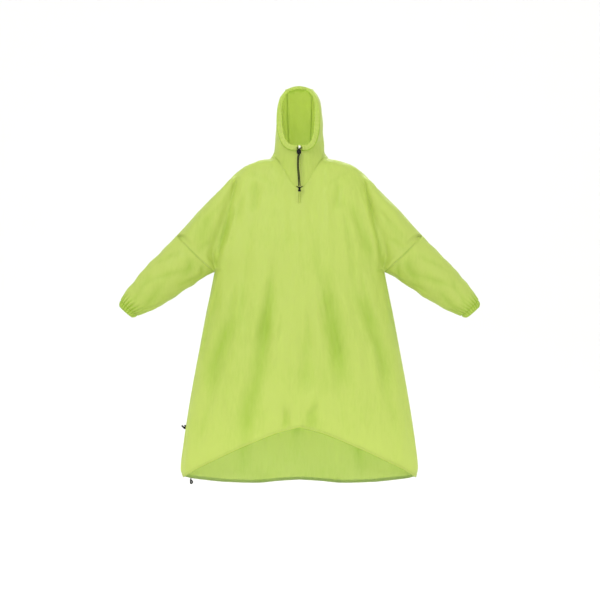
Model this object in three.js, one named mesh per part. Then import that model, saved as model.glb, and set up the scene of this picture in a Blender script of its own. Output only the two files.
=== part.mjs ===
// Hooded rain poncho with dropped sleeves, filled out as it is worn. Millimetres, +Z up.
// The wearer would face -Y and +X is on the viewer's right.
// The origin is the middle of the neck base, between the shoulders.
import * as THREE from 'three';

const { lerp, clamp, degToRad } = THREE.MathUtils;

// Driving dimensions of the cloth
const WALL = 1.6;
const SEAM_GAP = 0.3;
const COLUMNS_A_SIDE = 16;
const NECK_SIDE_X = 114;
const NECK_FRONT_Y = 98;
const NECK_BACK_Y = 84;
const NECK_TOP_Z = 8;
const NECK_FRONT_DROP = 127;
const NECK_BACK_RISE = 6;
const NECK_BLEND_Z = -220;
const NECK_U_POWER = 5;
const NECK_SEAM_LIFT = 0.4;
const ZIP_SLIT_HALF = 4;
const ZIP_BOTTOM_Z = -180;
const SHOULDER_TIP_Z = -40;
const HEM_SIDE_Z = -1268;
const HEM_SIDE_X = 466;

// The dropped armhole is a slanted oval through a point on the shoulder line and the armpit
const ARMHOLE_TOP = { x: 493, z: -304 };
const ARMPIT = { x: 340, z: -448 };
const ARMHOLE_DEPTH = 80;
const ARMHOLE_BLEND = 46;
const ARMHOLE_CELLS = 6;
const LOWER_CELLS = 9;
const UPPER_HEIGHTS = [NECK_TOP_Z, -4, -16, -38, -70, -112, -160, -210, -258];

// Roundness of the body sections, reach of the blend of torso and arm, and the depth of
// cloth that a fold needs for its full depth
const SECTION_POWER = 2.4;
const ARM_BLEND = 18;
const FOLD_FULL_DEPTH = 70;

// Shoulder line, from the neck down over the arm
const SHOULDER = [
  { z: 8, x: 114 }, { z: -16, x: 196 }, { z: -40, x: 238 }, { z: -64, x: 266 },
  { z: -88, x: 286 }, { z: -136, x: 334 }, { z: -208, x: 406 }, { z: -256, x: 448 },
  { z: -304, x: 493 }, { z: -352, x: 542 }, { z: -400, x: 588 }, { z: -448, x: 632 },
];

// Side seam, from the armpit to the hem
const SIDE_SEAM = [
  { z: -448, x: 340 }, { z: -520, x: 354 }, { z: -616, x: 374 }, { z: -744, x: 398 },
  { z: -872, x: 422 }, { z: -1000, x: 444 }, { z: -1128, x: 463 }, { z: -1230, x: 474 },
  { z: HEM_SIDE_Z, x: HEM_SIDE_X },
];

// Line of the crease between torso and arm, which the panel's columns follow
const CREASE = [
  { z: 8, x: 84 }, { z: -40, x: 190 }, { z: -88, x: 246 }, { z: -136, x: 268 },
  { z: -208, x: 290 }, { z: -304, x: 318 }, { z: -376, x: 328 }, { z: -448, x: 322 },
  { z: -680, x: 312 }, { z: HEM_SIDE_Z, x: 380 },
];
const CREASE_COLUMN = 11;

// Depths of the body in front of and behind the seam plane, and where torso and arm meet
const BODY = [
  { z: 8, front: 72, back: 70, torso: 114, armIn: 100, arm: 0 },
  { z: -40, front: 85, back: 92, torso: 238, armIn: 220, arm: 0 },
  { z: -88, front: 94, back: 106, torso: 284, armIn: 244, arm: 56 },
  { z: -136, front: 101, back: 115, torso: 306, armIn: 257, arm: 70 },
  { z: -208, front: 114, back: 122, torso: 326, armIn: 274, arm: 80 },
  { z: -304, front: 130, back: 129, torso: 350, armIn: 300, arm: 84 },
  { z: -376, front: 139, back: 135, torso: 360, armIn: 318, arm: 82 },
  { z: -448, front: 147, back: 142, torso: 342, armIn: 330, arm: 76 },
  { z: -680, front: 169, back: 167, torso: 386, armIn: 380, arm: 0 },
  { z: -1000, front: 199, back: 205, torso: 444, armIn: 440, arm: 0 },
  { z: -1310, front: 226, back: 232, torso: 466, armIn: 460, arm: 0 },
];

// The front hem is arched up at the middle, the back hem hangs in two shallow lobes
const FRONT_HEM = [
  { x: 0, z: -1054 }, { x: 90, z: -1078 }, { x: 218, z: -1131 }, { x: 292, z: -1166 },
  { x: 358, z: -1200 }, { x: 413, z: -1230 }, { x: HEM_SIDE_X, z: HEM_SIDE_Z },
];
const BACK_HEM = [
  { x: 0, z: -1306 }, { x: 85, z: -1311 }, { x: 175, z: -1318 }, { x: 305, z: -1310 },
  { x: 378, z: -1298 }, { x: 438, z: -1283 }, { x: HEM_SIDE_X, z: HEM_SIDE_Z },
];

// Creases and flutes: each is a soft trough along a straight line on the panel
const FRONT_FOLDS = [
  { x0: -226, z0: -148, x1: -306, z1: -348, width: 24, deep: 11 },
  { x0: 202, z0: -172, x1: 294, z1: -400, width: 24, deep: 12 },
  { x0: -174, z0: -92, x1: -176, z1: -212, width: 26, deep: 7 },
  { x0: 150, z0: -100, x1: 154, z1: -200, width: 24, deep: 6 },
  { x0: -270, z0: -640, x1: -358, z1: -908, width: 36, deep: 17 },
  { x0: -118, z0: -560, x1: -206, z1: -1068, width: 38, deep: 19 },
  { x0: 22, z0: -680, x1: 24, z1: -900, width: 28, deep: 10 },
  { x0: 110, z0: -480, x1: 174, z1: -868, width: 36, deep: 22 },
  { x0: 230, z0: -532, x1: 350, z1: -880, width: 36, deep: 16 },
  { x0: -62, z0: -960, x1: -56, z1: -1056, width: 22, deep: 8 },
  { x0: 62, z0: -960, x1: 56, z1: -1056, width: 22, deep: 9 },
];
const BACK_FOLDS = [
  { x0: -210, z0: -150, x1: -300, z1: -390, width: 26, deep: 12 },
  { x0: 222, z0: -160, x1: 300, z1: -360, width: 26, deep: 11 },
  { x0: -96, z0: -330, x1: -172, z1: -900, width: 38, deep: 19 },
  { x0: 84, z0: -420, x1: 128, z1: -1040, width: 38, deep: 21 },
  { x0: -250, z0: -560, x1: -338, z1: -960, width: 36, deep: 16 },
  { x0: 236, z0: -520, x1: 340, z1: -1010, width: 38, deep: 18 },
  { x0: -10, z0: -700, x1: -14, z1: -1180, width: 32, deep: 13 },
];

// Sleeve rings: top and bottom of each ring in the front view, and half its depth
const SLEEVE = [
  { topX: 493, topZ: -304, lowX: 340, lowZ: -448, half: 80 },
  { topX: 526, topZ: -339, lowX: 374, lowZ: -464, half: 79 },
  { topX: 568, topZ: -380, lowX: 420, lowZ: -495, half: 75 },
  { topX: 612, topZ: -426, lowX: 471, lowZ: -530, half: 68 },
  { topX: 653, topZ: -474, lowX: 526, lowZ: -566, half: 60 },
  { topX: 690, topZ: -519, lowX: 584, lowZ: -599, half: 52 },
  { topX: 714, topZ: -558, lowX: 646, lowZ: -622, half: 44 },
];
const CUFF = [
  { topX: 714, topZ: -558, lowX: 646, lowZ: -622, half: 44 },
  { topX: 720, topZ: -572, lowX: 657, lowZ: -628, half: 39 },
  { topX: 721, topZ: -585, lowX: 669, lowZ: -631, half: 34 },
];
const SLEEVE_STEPS = 24;
const SLEEVE_FOLDS = [
  { ring: 1.4, angle: 118, slope: 16, width: 16, deep: 6 },
  { ring: 2.8, angle: 96, slope: -20, width: 13, deep: 5 },
  { ring: 4.4, angle: 122, slope: 14, width: 15, deep: 5 },
  { ring: 3.4, angle: 248, slope: 18, width: 15, deep: 6 },
];
const CUFF_STEPS = 48;
const CUFF_GATHERS = 12;
const CUFF_GATHER_DEEP = 2.2;

// Face opening: an oval edge, squarer at the chin, in a nearly upright plane, turned a
// little to the viewer's left
const FACE_HALF_X = 85;
const FACE_HALF_Z = 126;
const FACE_LOW_POWER = 0.58;
const FACE_TOP_POWER = 0.75;
const FACE_DROP_POWER = 0.85;
const FACE_MID_Z = 151;
const FACE_SHIFT = -5;
const FACE_Y = -118;
const FACE_TOP_ANGLE = 150;
const BAND_GAP = 0.6;
const BAND_THICK = 4;
const BAND_LOW_WIDTH = 23;
const BAND_TOP_WIDTH = 11;
const BAND_STEPS = 44;
const BAND_START = 1.3;

// Hood rows from the neckline to the crown: front edge, widest point and centre-panel seam.
// A row with a face angle has its front edge on the face oval, the others on the zip.
const HOOD = [
  { frontY: -98, frontZ: -119, sideX: 114, sideY: 0, sideZ: 8, backX: 41, backY: 78, backZ: 14 },
  { frontY: -102, frontZ: -80, sideX: 102, sideY: -4, sideZ: 30, backX: 42, backY: 88, backZ: 34 },
  { frontY: -109, frontZ: -26, sideX: 98, sideY: -4, sideZ: 58, backX: 43, backY: 102, backZ: 62 },
  { frontY: -118, frontZ: 20, sideX: 96, sideY: -3, sideZ: 86, backX: 44, backY: 114, backZ: 94 },
  { face: 24, sideX: 94, sideY: -2, sideZ: 112, backX: 45, backY: 123, backZ: 124 },
  { face: 44, sideX: 93, sideY: 0, sideZ: 136, backX: 46, backY: 129, backZ: 152 },
  { face: 66, sideX: 91, sideY: 0, sideZ: 160, backX: 47, backY: 131, backZ: 180 },
  { face: 89, sideX: 89, sideY: 0, sideZ: 186, backX: 48, backY: 128, backZ: 207 },
  { face: 111, sideX: 86, sideY: 0, sideZ: 214, backX: 48, backY: 118, backZ: 233 },
  { face: 131, sideX: 77, sideY: 0, sideZ: 246, backX: 49, backY: 98, backZ: 255 },
  { face: FACE_TOP_ANGLE, sideX: 53, sideY: 0, sideZ: 282, backX: 49, backY: 68, backZ: 274 },
];
const HOOD_SEAM_COLUMN = 5;
const HOOD_ROW_CELLS = 12;
const HOOD_CENTRE = { y: 5, z: 130 };
const CENTRE_FRONT_RISE = 17;
const CENTRE_RISE = 10;
const CENTRE_INSET = 0.988;

// Zip, cord lock, drawcords and loops
const TAPE_HALF = 15;
const TAPE_THICK = 1.2;
const COIL_HALF = 2.5;
const COIL_THICK = 2;
const ZIP_TOP_Z = 48;
const ZIP_TOP_Y = -119.5;
const ZIP_HEIGHTS = [-188, -176, -158, -140, -124];
const TAPE_BEHIND = 3.3;
const TAPE_CURL = 0.011;
const SLIDER = { wide: 9, thick: 3.4, high: 12, z: 39 };
const LOCK = { x: -2.5, y: -134.5, z: 20, radius: 9, hole: 5, high: 16 };
const CORD_RADIUS = 2;
const CORD_SIDES = 8;
const KNOT = { y: -133, z: -121.5, radius: 5.5 };
const CORD_CAP = { radius: 6, high: 8.5 };
const TAIL_LENGTH = 7;
const TAIL_RISE = 24;
const LOOP_TAPE = 5;
const LOOP_THICK = 3;

// Left strand by hand, from its eyelet in the face band through the lock to the knot
const LEFT_CORD = [
  [-9.5, -125.3, 36], [-8, -131, 34.8], [-5.6, -134.3, 31.8], [-4.75, -134.5, 27],
  [-4.7, -134.5, 19.5], [-4.85, -134.5, 13], [-6.85, -134.7, -1], [-7.85, -134.8, -26],
  [-7.3, -134.6, -46], [-5.5, -134.2, -70], [-4.1, -133.7, -93], [-3, -133.2, -108],
  [-2.7, -133, -115.2],
];
const RIGHT_CORD = [
  [9.5, -125.3, 36], [5.5, -131, 34.6], [0.6, -134.3, 31.6], [-0.25, -134.5, 27],
  [-0.3, -134.5, 19.5], [-0.4, -134.5, 13], [-2.4, -134.5, -1], [-3.4, -134.4, -26],
  [-2.8, -134.3, -46], [-0.95, -134, -70], [0.65, -133.6, -93], [2.2, -133.2, -108],
  [2.7, -133, -115.2],
];

const finish = (hex) => new THREE.MeshStandardMaterial({ color: hex, roughness: 0.5, metalness: 0 });
const NYLON = 0xbfd665;
const BLACK = 0x17181a;
const PALE_METAL = 0xd9dccf;

const part = new THREE.Group();

function addMesh(name, geometry, material) {
  const mesh = new THREE.Mesh(geometry, material);
  mesh.name = name;
  part.add(mesh);
  return mesh;
}

// Smooth value of one named column of a table at a key between its rows
function column(rows, key, name, at) {
  const way = Math.sign(rows[1][key] - rows[0][key]);
  let i = 0;
  while (i < rows.length - 2 && (at - rows[i + 1][key]) * way > 0) i += 1;
  const slope = (k) => {
    const a = rows[Math.max(k - 1, 0)];
    const b = rows[Math.min(k + 1, rows.length - 1)];
    return (b[name] - a[name]) / (b[key] - a[key]);
  };
  const span = rows[i + 1][key] - rows[i][key];
  const t = clamp((at - rows[i][key]) / span, 0, 1);
  const start = (1 + 2 * t) * (1 - t) * (1 - t) * rows[i][name];
  const end = t * t * (3 - 2 * t) * rows[i + 1][name];
  const leave = t * (1 - t) * (1 - t) * span * slope(i);
  const arrive = t * t * (t - 1) * span * slope(i + 1);
  return start + end + leave + arrive;
}

function softStep(from, to, at) {
  const t = clamp((at - from) / (to - from), 0, 1);
  return t * t * (3 - 2 * t);
}

function softMax(a, b, reach) {
  const share = clamp(0.5 + (0.5 * (a - b)) / reach, 0, 1);
  return lerp(b, a, share) + reach * share * (1 - share) * 0.5;
}

// A wall between a grid of outer points and the same grid moved in. Rows may close into
// tubes, and cells where the hole test is true are left out.
function clothWall(rows, inward, { closed = false, hole = () => false, thick = WALL } = {}) {
  const across = rows[0].length;
  const cells = closed ? across : across - 1;
  const positions = [];
  const index = [];
  const total = rows.length * across;
  rows.forEach((row) => row.forEach((point) => positions.push(point.x, point.y, point.z)));
  rows.forEach((row, j) => row.forEach((point, i) => {
    const inner = point.clone().addScaledVector(inward(j, i), thick);
    positions.push(inner.x, inner.y, inner.z);
  }));
  const present = (j, i) => {
    if (j < 0 || j >= rows.length - 1) return false;
    if (!closed && (i < 0 || i >= cells)) return false;
    return !hole(j, (i + cells) % cells);
  };
  const at = (j, i) => j * across + (i % across);
  const rim = (a, b) => index.push(b, a, a + total, b, a + total, b + total);
  for (let j = 0; j < rows.length - 1; j += 1) {
    for (let i = 0; i < cells; i += 1) {
      if (!present(j, i)) continue;
      const [a, b, c, d] = [at(j, i), at(j, i + 1), at(j + 1, i + 1), at(j + 1, i)];
      index.push(a, b, c, a, c, d);
      index.push(a + total, c + total, b + total, a + total, d + total, c + total);
      if (!present(j - 1, i)) rim(a, b);
      if (!present(j, i + 1)) rim(b, c);
      if (!present(j + 1, i)) rim(c, d);
      if (!present(j, i - 1)) rim(d, a);
    }
  }
  return solidFrom(positions, index);
}

// A closed geometry whose faces are turned outwards by the sign of its volume
function solidFrom(positions, index) {
  const point = (k) => new THREE.Vector3().fromArray(positions, 3 * k);
  let volume = 0;
  for (let k = 0; k < index.length; k += 3) {
    volume += point(index[k]).dot(point(index[k + 1]).cross(point(index[k + 2])));
  }
  const turned = [];
  for (let k = 0; k < index.length; k += 3) {
    turned.push(index[k], index[k + (volume > 0 ? 1 : 2)], index[k + (volume > 0 ? 2 : 1)]);
  }
  const geometry = new THREE.BufferGeometry();
  geometry.setAttribute('position', new THREE.Float32BufferAttribute(positions, 3));
  geometry.setIndex(turned);
  geometry.computeVertexNormals();
  return geometry;
}

// Outward normal of a point grid, away from a middle point of the hollow
function gridNormal(rows, j, i, closed, middle) {
  const across = rows[0].length;
  const left = closed ? (i + across - 1) % across : Math.max(i - 1, 0);
  const right = closed ? (i + 1) % across : Math.min(i + 1, across - 1);
  const along = rows[j][right].clone().sub(rows[j][left]);
  const down = rows[Math.min(j + 1, rows.length - 1)][i].clone();
  down.sub(rows[Math.max(j - 1, 0)][i]);
  const normal = along.cross(down).normalize();
  const away = rows[j][i].clone().sub(middle);
  return normal.dot(away) < 0 ? normal.negate() : normal;
}

// Body panels

// Half width of the body at a height: shoulder line, slanted armhole, then side seam
function bodyEdge(z) {
  if (z >= ARMHOLE_TOP.z) return column(SHOULDER, 'z', 'x', z);
  if (z <= ARMPIT.z) return column(SIDE_SEAM, 'z', 'x', z);
  return lerp(ARMHOLE_TOP.x, ARMPIT.x, (z - ARMHOLE_TOP.z) / (ARMPIT.z - ARMHOLE_TOP.z));
}

// Depth of the armhole oval at a height
function armholeDepth(z) {
  const share = clamp((z - ARMHOLE_TOP.z) / (ARMPIT.z - ARMHOLE_TOP.z), 0, 1);
  return ARMHOLE_DEPTH * Math.sqrt(1 - (2 * share - 1) ** 2);
}

function foldDepth(folds, x, z) {
  let depth = 0;
  folds.forEach((fold) => {
    const dx = fold.x1 - fold.x0;
    const dz = fold.z1 - fold.z0;
    const length = Math.hypot(dx, dz);
    const along = ((x - fold.x0) * dx + (z - fold.z0) * dz) / length ** 2;
    const off = ((x - fold.x0) * dz - (z - fold.z0) * dx) / length;
    const fade = softStep(-0.2, 0.25, along) * (1 - softStep(0.75, 1.2, along));
    depth += fold.deep * fade * Math.exp(-((off / fold.width) ** 2));
  });
  return depth;
}

// Distance of the cloth from the seam plane: the torso and the arm, softly joined
function bodyDepth(x, z, face, folds) {
  const side = Math.abs(x);
  const edge = bodyEdge(z);
  const plain = z <= ARMPIT.z || z >= SHOULDER_TIP_Z;
  const torsoX = plain ? edge : column(BODY, 'z', 'torso', z);
  const armOut = plain ? edge : column(SHOULDER, 'z', 'x', z);
  const armMid = (armOut + column(BODY, 'z', 'armIn', z)) / 2;
  const armDeep = plain ? 0 : Math.max(column(BODY, 'z', 'arm', z), 0);
  const depthAt = (place) => {
    const torsoShare = clamp(place / torsoX, 0, 1);
    const torso = column(BODY, 'z', face, z) * Math.sqrt(1 - torsoShare ** SECTION_POWER);
    const armShare = clamp(Math.abs(place - armMid) / Math.max(armOut - armMid, 1), 0, 1);
    const arm = armDeep * Math.sqrt(1 - armShare ** 2);
    return armDeep > 0 ? softMax(torso, arm, ARM_BLEND) : torso;
  };
  // Above the armhole the panels close in on the shoulder seam
  const open = z >= ARMHOLE_TOP.z && !plain ? depthAt(edge) : 0;
  const closing = open * Math.exp((side - edge) / Math.max(2 * open, 6));
  const both = Math.max(depthAt(side) - closing, 0);
  const fold = foldDepth(folds, x, z) * clamp(both / FOLD_FULL_DEPTH, 0, 1);
  const cloth = Math.max(both - fold, 0);
  if (z >= ARMHOLE_TOP.z || z <= ARMPIT.z) return cloth;
  return lerp(cloth, armholeDepth(z), softStep(edge - ARMHOLE_BLEND, edge, side));
}

// Place of a column at a height: even as far as the armpit crease, then closing in on the
// edge, so that no column crosses the crease
function columnX({ side, k }, z) {
  const crease = column(CREASE, 'z', 'x', z);
  const edge = bodyEdge(z);
  if (k <= CREASE_COLUMN) return side * lerp(ZIP_SLIT_HALF, crease, k / CREASE_COLUMN);
  const share = (k - CREASE_COLUMN) / (COLUMNS_A_SIDE - CREASE_COLUMN);
  return side * lerp(crease, edge, Math.sin((share * Math.PI) / 2));
}

const columnSigns = [];
for (let k = COLUMNS_A_SIDE; k >= 0; k -= 1) columnSigns.push({ side: -1, k });
for (let k = 0; k <= COLUMNS_A_SIDE; k += 1) columnSigns.push({ side: 1, k });

// Neckline point at a sideways place, on the front or the back
function neckline(x, face) {
  const sine = clamp(x / NECK_SIDE_X, -1, 1);
  const cosine = Math.sqrt(1 - sine ** 2);
  if (face === 'front') {
    const z = NECK_TOP_Z - NECK_FRONT_DROP * cosine ** NECK_U_POWER;
    return new THREE.Vector3(x, -NECK_FRONT_Y * cosine, z);
  }
  return new THREE.Vector3(x, NECK_BACK_Y * cosine, NECK_TOP_Z + NECK_BACK_RISE * cosine);
}

// Direction of the mitred cloth edge round the neckline, out of the garment
function necklineOut(point) {
  const share = clamp(Math.abs(point.x) / NECK_SIDE_X, 0, 1);
  const radial = new THREE.Vector3(point.x / NECK_SIDE_X, point.y / NECK_FRONT_Y, 0);
  radial.normalize();
  radial.z = 0.15 + 0.85 * share ** 2;
  return radial.normalize();
}

// Nominal heights of the panel rows, which meet the sleeve rings at the armhole
function panelHeights() {
  const heights = [...UPPER_HEIGHTS];
  for (let k = 0; k <= ARMHOLE_CELLS; k += 1) {
    const share = (1 - Math.cos((Math.PI * k) / ARMHOLE_CELLS)) / 2;
    heights.push(lerp(ARMHOLE_TOP.z, ARMPIT.z, share));
  }
  for (let k = 1; k <= LOWER_CELLS; k += 1) {
    heights.push(lerp(ARMPIT.z, HEM_SIDE_Z, k / LOWER_CELLS));
  }
  return heights;
}

function panelRows(face, folds, hem) {
  const sign = face === 'front' ? -1 : 1;
  const heights = panelHeights();
  return heights.map((nominal, j) => columnSigns.map((entry) => {
    const atNeck = neckline(columnX(entry, NECK_TOP_Z), face);
    if (j === 0) {
      atNeck.y += (sign * SEAM_GAP) / 2;
      return atNeck;
    }
    const x = columnX(entry, nominal);
    let z = nominal;
    if (nominal > NECK_BLEND_Z) {
      const share = (nominal - NECK_BLEND_Z) / (NECK_TOP_Z - NECK_BLEND_Z);
      z += (atNeck.z - NECK_TOP_Z) * share;
    } else if (nominal < ARMPIT.z) {
      const hemX = Math.abs(columnX(entry, HEM_SIDE_Z));
      const reach = column(hem, 'x', 'z', hemX) - ARMPIT.z;
      z = ARMPIT.z + ((nominal - ARMPIT.z) * reach) / (HEM_SIDE_Z - ARMPIT.z);
    }
    const edge = entry.k === COLUMNS_A_SIDE;
    const depth = edge ? armholeDepth(z) : bodyDepth(x, z, face, folds);
    const point = new THREE.Vector3(x, sign * (depth + SEAM_GAP / 2), z);
    if (edge && nominal < ARMHOLE_TOP.z && nominal > ARMPIT.z) {
      point.x -= entry.side * SEAM_GAP;
    }
    return point;
  }));
}

function makePanel(name, face, folds, hem) {
  const rows = panelRows(face, folds, hem);
  const heights = panelHeights();
  const last = columnSigns.length - 1;
  const inward = (j, i) => {
    if (j === 0) return necklineOut(rows[j][i]).negate();
    const middle = new THREE.Vector3(0, 0, rows[j][i].z - 40);
    const out = gridNormal(rows, j, i, false, middle);
    if (i === 0 || i === last) {
      const inArmhole = heights[j] < ARMHOLE_TOP.z && heights[j] > ARMPIT.z;
      if (inArmhole) return armholeOut(rows[j][i]).negate();
      out.y = 0;
      out.normalize();
    }
    return out.negate();
  };
  const hole = (j, i) => (
    face === 'front' && i === COLUMNS_A_SIDE && rows[j][i].z > ZIP_BOTTOM_Z
  );
  return addMesh(name, clothWall(rows, inward, { hole }), finish(NYLON));
}

// Direction out of the armhole oval, within its slanted plane
function armholeOut(point) {
  const side = Math.sign(point.x);
  const middle = new THREE.Vector3(
    (side * (ARMHOLE_TOP.x + ARMPIT.x)) / 2, 0, (ARMHOLE_TOP.z + ARMPIT.z) / 2,
  );
  const out = point.clone().sub(middle);
  const across = new THREE.Vector3(side, 0, -1).normalize();
  return out.addScaledVector(across, -out.dot(across)).normalize();
}

// Sleeves and gathered cuffs

function ringPoint(ring, side, angle, grow) {
  const midX = (ring.topX + ring.lowX) / 2;
  const midZ = (ring.topZ + ring.lowZ) / 2;
  const halfX = (ring.topX - ring.lowX) / 2;
  const halfZ = (ring.topZ - ring.lowZ) / 2;
  const length = Math.hypot(halfX, halfZ);
  const share = Math.cos(angle) * (1 + grow / length);
  const y = -(ring.half + grow) * Math.sin(angle);
  return new THREE.Vector3(side * (midX + halfX * share), y, midZ + halfZ * share);
}

function sleeveGrow(ringIndex, angle, side) {
  let grow = 0;
  SLEEVE_FOLDS.forEach((fold) => {
    const centre = degToRad(side > 0 ? fold.angle : fold.angle - 8);
    const along = ringIndex - fold.ring - side * 0.15;
    const off = angle - centre - degToRad(fold.slope) * along;
    const fade = Math.exp(-((along / 1.1) ** 2));
    grow -= fold.deep * fade * Math.exp(-((off / degToRad(fold.width)) ** 2));
  });
  const ends = softStep(0, 1, ringIndex) * (1 - softStep(5, 6, ringIndex));
  return grow * ends;
}

function tubeRows(rings, side, steps, grow, firstShift, lastShift) {
  return rings.map((ring, j) => {
    const row = [];
    for (let k = 0; k < steps; k += 1) {
      const angle = (2 * Math.PI * k) / steps;
      const point = ringPoint(ring, side, angle, grow(j, angle));
      const shift = j === 0 ? firstShift : lastShift * (j === rings.length - 1);
      point.x += side * shift;
      row.push(point);
    }
    return row;
  });
}

function makeTube(name, rows, side) {
  const inward = (j, i) => {
    const middle = rows[j].reduce((sum, p) => sum.add(p), new THREE.Vector3());
    middle.divideScalar(rows[j].length);
    const out = gridNormal(rows, j, i, true, middle);
    if (j === 0 || j === rows.length - 1) {
      const across = rows[j][0].clone().sub(rows[j][rows[j].length / 2]).normalize();
      const plane = across.cross(new THREE.Vector3(0, 1, 0)).normalize();
      out.addScaledVector(plane, -out.dot(plane)).normalize();
    }
    return out.negate();
  };
  return addMesh(name, clothWall(rows, inward, { closed: true }), finish(NYLON));
}

function makeSleeve(name, side) {
  const grow = (j, angle) => sleeveGrow(j, angle, side);
  makeTube(name, tubeRows(SLEEVE, side, SLEEVE_STEPS, grow, SEAM_GAP / 2, 0), side);
}

function makeCuff(name, side) {
  const wave = (j, angle) => CUFF_GATHER_DEEP * Math.cos(CUFF_GATHERS * angle) * (j === 1 ? 1.4 : 1);
  makeTube(name, tubeRows(CUFF, side, CUFF_STEPS, wave, 2 * SEAM_GAP, 0), side);
}

// Hood: two side panels, a centre panel over the crown, and the band round the face

// Outer edge of the face opening, from the chin at 0 degrees to the top at 180
function faceEdge(degrees, side) {
  const angle = degToRad(degrees);
  const sine = Math.max(Math.sin(angle), 0);
  const power = lerp(FACE_LOW_POWER, FACE_TOP_POWER, (1 - Math.cos(angle)) / 2);
  const x = side * FACE_HALF_X * sine ** power + FACE_SHIFT * sine;
  const y = FACE_Y - 6 * sine + 4 * ((1 - Math.cos(angle)) / 2) ** 3;
  const drop = Math.cos(angle) > 0 ? Math.cos(angle) ** FACE_DROP_POWER : Math.cos(angle);
  return new THREE.Vector3(x, y, FACE_MID_Z - FACE_HALF_Z * drop);
}

function hoodFront(row, side) {
  if (row.face !== undefined) return faceEdge(row.face, side);
  return new THREE.Vector3(side * ZIP_SLIT_HALF, row.frontY, row.frontZ);
}

// One row of a hood side: a quarter arc from the front edge to the widest point, and
// another on to the centre-panel seam
function hoodRow(index, side) {
  const row = HOOD[index];
  const front = hoodFront(row, side);
  const points = [];
  for (let k = 0; k <= COLUMNS_A_SIDE; k += 1) {
    if (index === 0) {
      const point = neckline(columnX({ side, k }, NECK_TOP_Z), 'front');
      points.push(point.add(new THREE.Vector3(0, 0, NECK_SEAM_LIFT)));
      continue;
    }
    const turn = (Math.PI / 2) * (k / COLUMNS_A_SIDE);
    const x = lerp(front.x, side * row.sideX, Math.sin(turn));
    const y = lerp(row.sideY, front.y, Math.cos(turn));
    points.push(new THREE.Vector3(x, y, lerp(front.z, row.sideZ, k / COLUMNS_A_SIDE)));
  }
  const backCells = COLUMNS_A_SIDE - HOOD_SEAM_COLUMN;
  for (let k = 1; k <= backCells; k += 1) {
    if (index === 0) {
      const entry = { side, k: COLUMNS_A_SIDE - k };
      const point = neckline(columnX(entry, NECK_TOP_Z), 'back');
      points.push(point.add(new THREE.Vector3(0, 0, NECK_SEAM_LIFT)));
      continue;
    }
    const turn = (Math.PI / 2) * (k / backCells);
    const x = side * lerp(row.backX, row.sideX, Math.cos(turn));
    const y = lerp(row.sideY, row.backY, Math.sin(turn));
    points.push(new THREE.Vector3(x, y, lerp(row.sideZ, row.backZ, k / backCells)));
  }
  return points;
}

// Hood side rows on smooth curves through the rows of the table
function hoodSideRows(side) {
  const given = HOOD.map((row, index) => hoodRow(index, side));
  const curves = given[0].map((point, i) => (
    new THREE.CatmullRomCurve3(given.map((row) => row[i]), false, 'centripetal')
  ));
  const rows = [];
  for (let j = 0; j <= HOOD_ROW_CELLS; j += 1) {
    const row = curves.map((curve) => curve.getPoint(j / HOOD_ROW_CELLS));
    row[0].x = side * Math.max(side * row[0].x, ZIP_SLIT_HALF);
    rows.push(row);
  }
  return rows;
}

// Direction of the mitred edge along the centre-panel seams and the face edge
function hoodOut(point) {
  const out = new THREE.Vector3(point.x * 0.5, point.y - HOOD_CENTRE.y, point.z - HOOD_CENTRE.z);
  return out.normalize();
}

function makeHoodSide(name, side) {
  const rows = hoodSideRows(side);
  const seam = rows[0].length - 1;
  const middle = new THREE.Vector3(0, 0, 120);
  const inward = (j, i) => {
    if (j === 0) return necklineOut(rows[j][i]).negate();
    if (i === seam || j === rows.length - 1) return hoodOut(rows[j][i]).negate();
    middle.z = clamp(rows[j][i].z, 20, 220);
    const out = gridNormal(rows, j, i, false, middle);
    if (i === 0 && rows[j][i].z < FACE_MID_Z - FACE_HALF_Z) out.x = 0;
    return out.normalize().negate();
  };
  return addMesh(name, clothWall(rows, inward), finish(NYLON));
}

// Centre panel: from the top of the face edge over the crown and down to the nape
function makeHoodCentre(name) {
  const left = hoodSideRows(-1);
  const right = hoodSideRows(1);
  const crown = left.length - 1;
  const seam = left[0].length - 1;
  const seamX = columnX({ side: 1, k: HOOD_SEAM_COLUMN }, NECK_TOP_Z);
  const stations = [];
  for (let i = 0; i <= seam; i += 2) stations.push([left[crown][i], right[crown][i]]);
  for (let j = crown - 1; j >= 0; j -= 1) stations.push([left[j][seam], right[j][seam]]);
  const rows = stations.map(([a, b], s) => {
    const out = new THREE.Vector3(0, 0, 1);
    out.lerp(hoodOut(new THREE.Vector3(0, a.y, a.z)), softStep(0, 7, s)).normalize();
    const rise = lerp(CENTRE_FRONT_RISE, CENTRE_RISE, softStep(0, 5, s));
    const row = [];
    for (let k = -HOOD_SEAM_COLUMN; k <= HOOD_SEAM_COLUMN + 1; k += 1) {
      const entry = k <= 0 ? { side: -1, k: -k } : { side: 1, k: k - 1 };
      const share = columnX(entry, NECK_TOP_Z) / seamX;
      const inset = share * CENTRE_INSET;
      const point = a.clone().lerp(b, (inset + 1) / 2);
      if (s === 0) {
        const degrees = 180 - (180 - FACE_TOP_ANGLE) * Math.abs(inset);
        point.copy(faceEdge(degrees, entry.side));
      } else if (s === stations.length - 1) {
        point.copy(neckline(columnX(entry, NECK_TOP_Z), 'back'));
        point.x *= CENTRE_INSET;
        point.z += NECK_SEAM_LIFT;
      } else {
        point.addScaledVector(out, rise * (1 - share ** 2));
      }
      row.push(point);
    }
    return row;
  });
  const lastRow = rows.length - 1;
  const lastColumn = rows[0].length - 1;
  const inward = (j, i) => {
    if (j === lastRow) return necklineOut(rows[j][i]).negate();
    if (i === 0 || i === lastColumn) return hoodOut(rows[j][i]).negate();
    return gridNormal(rows, j, i, false, new THREE.Vector3(0, 0, 150)).negate();
  };
  return addMesh(name, clothWall(rows, inward), finish(NYLON));
}

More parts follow.
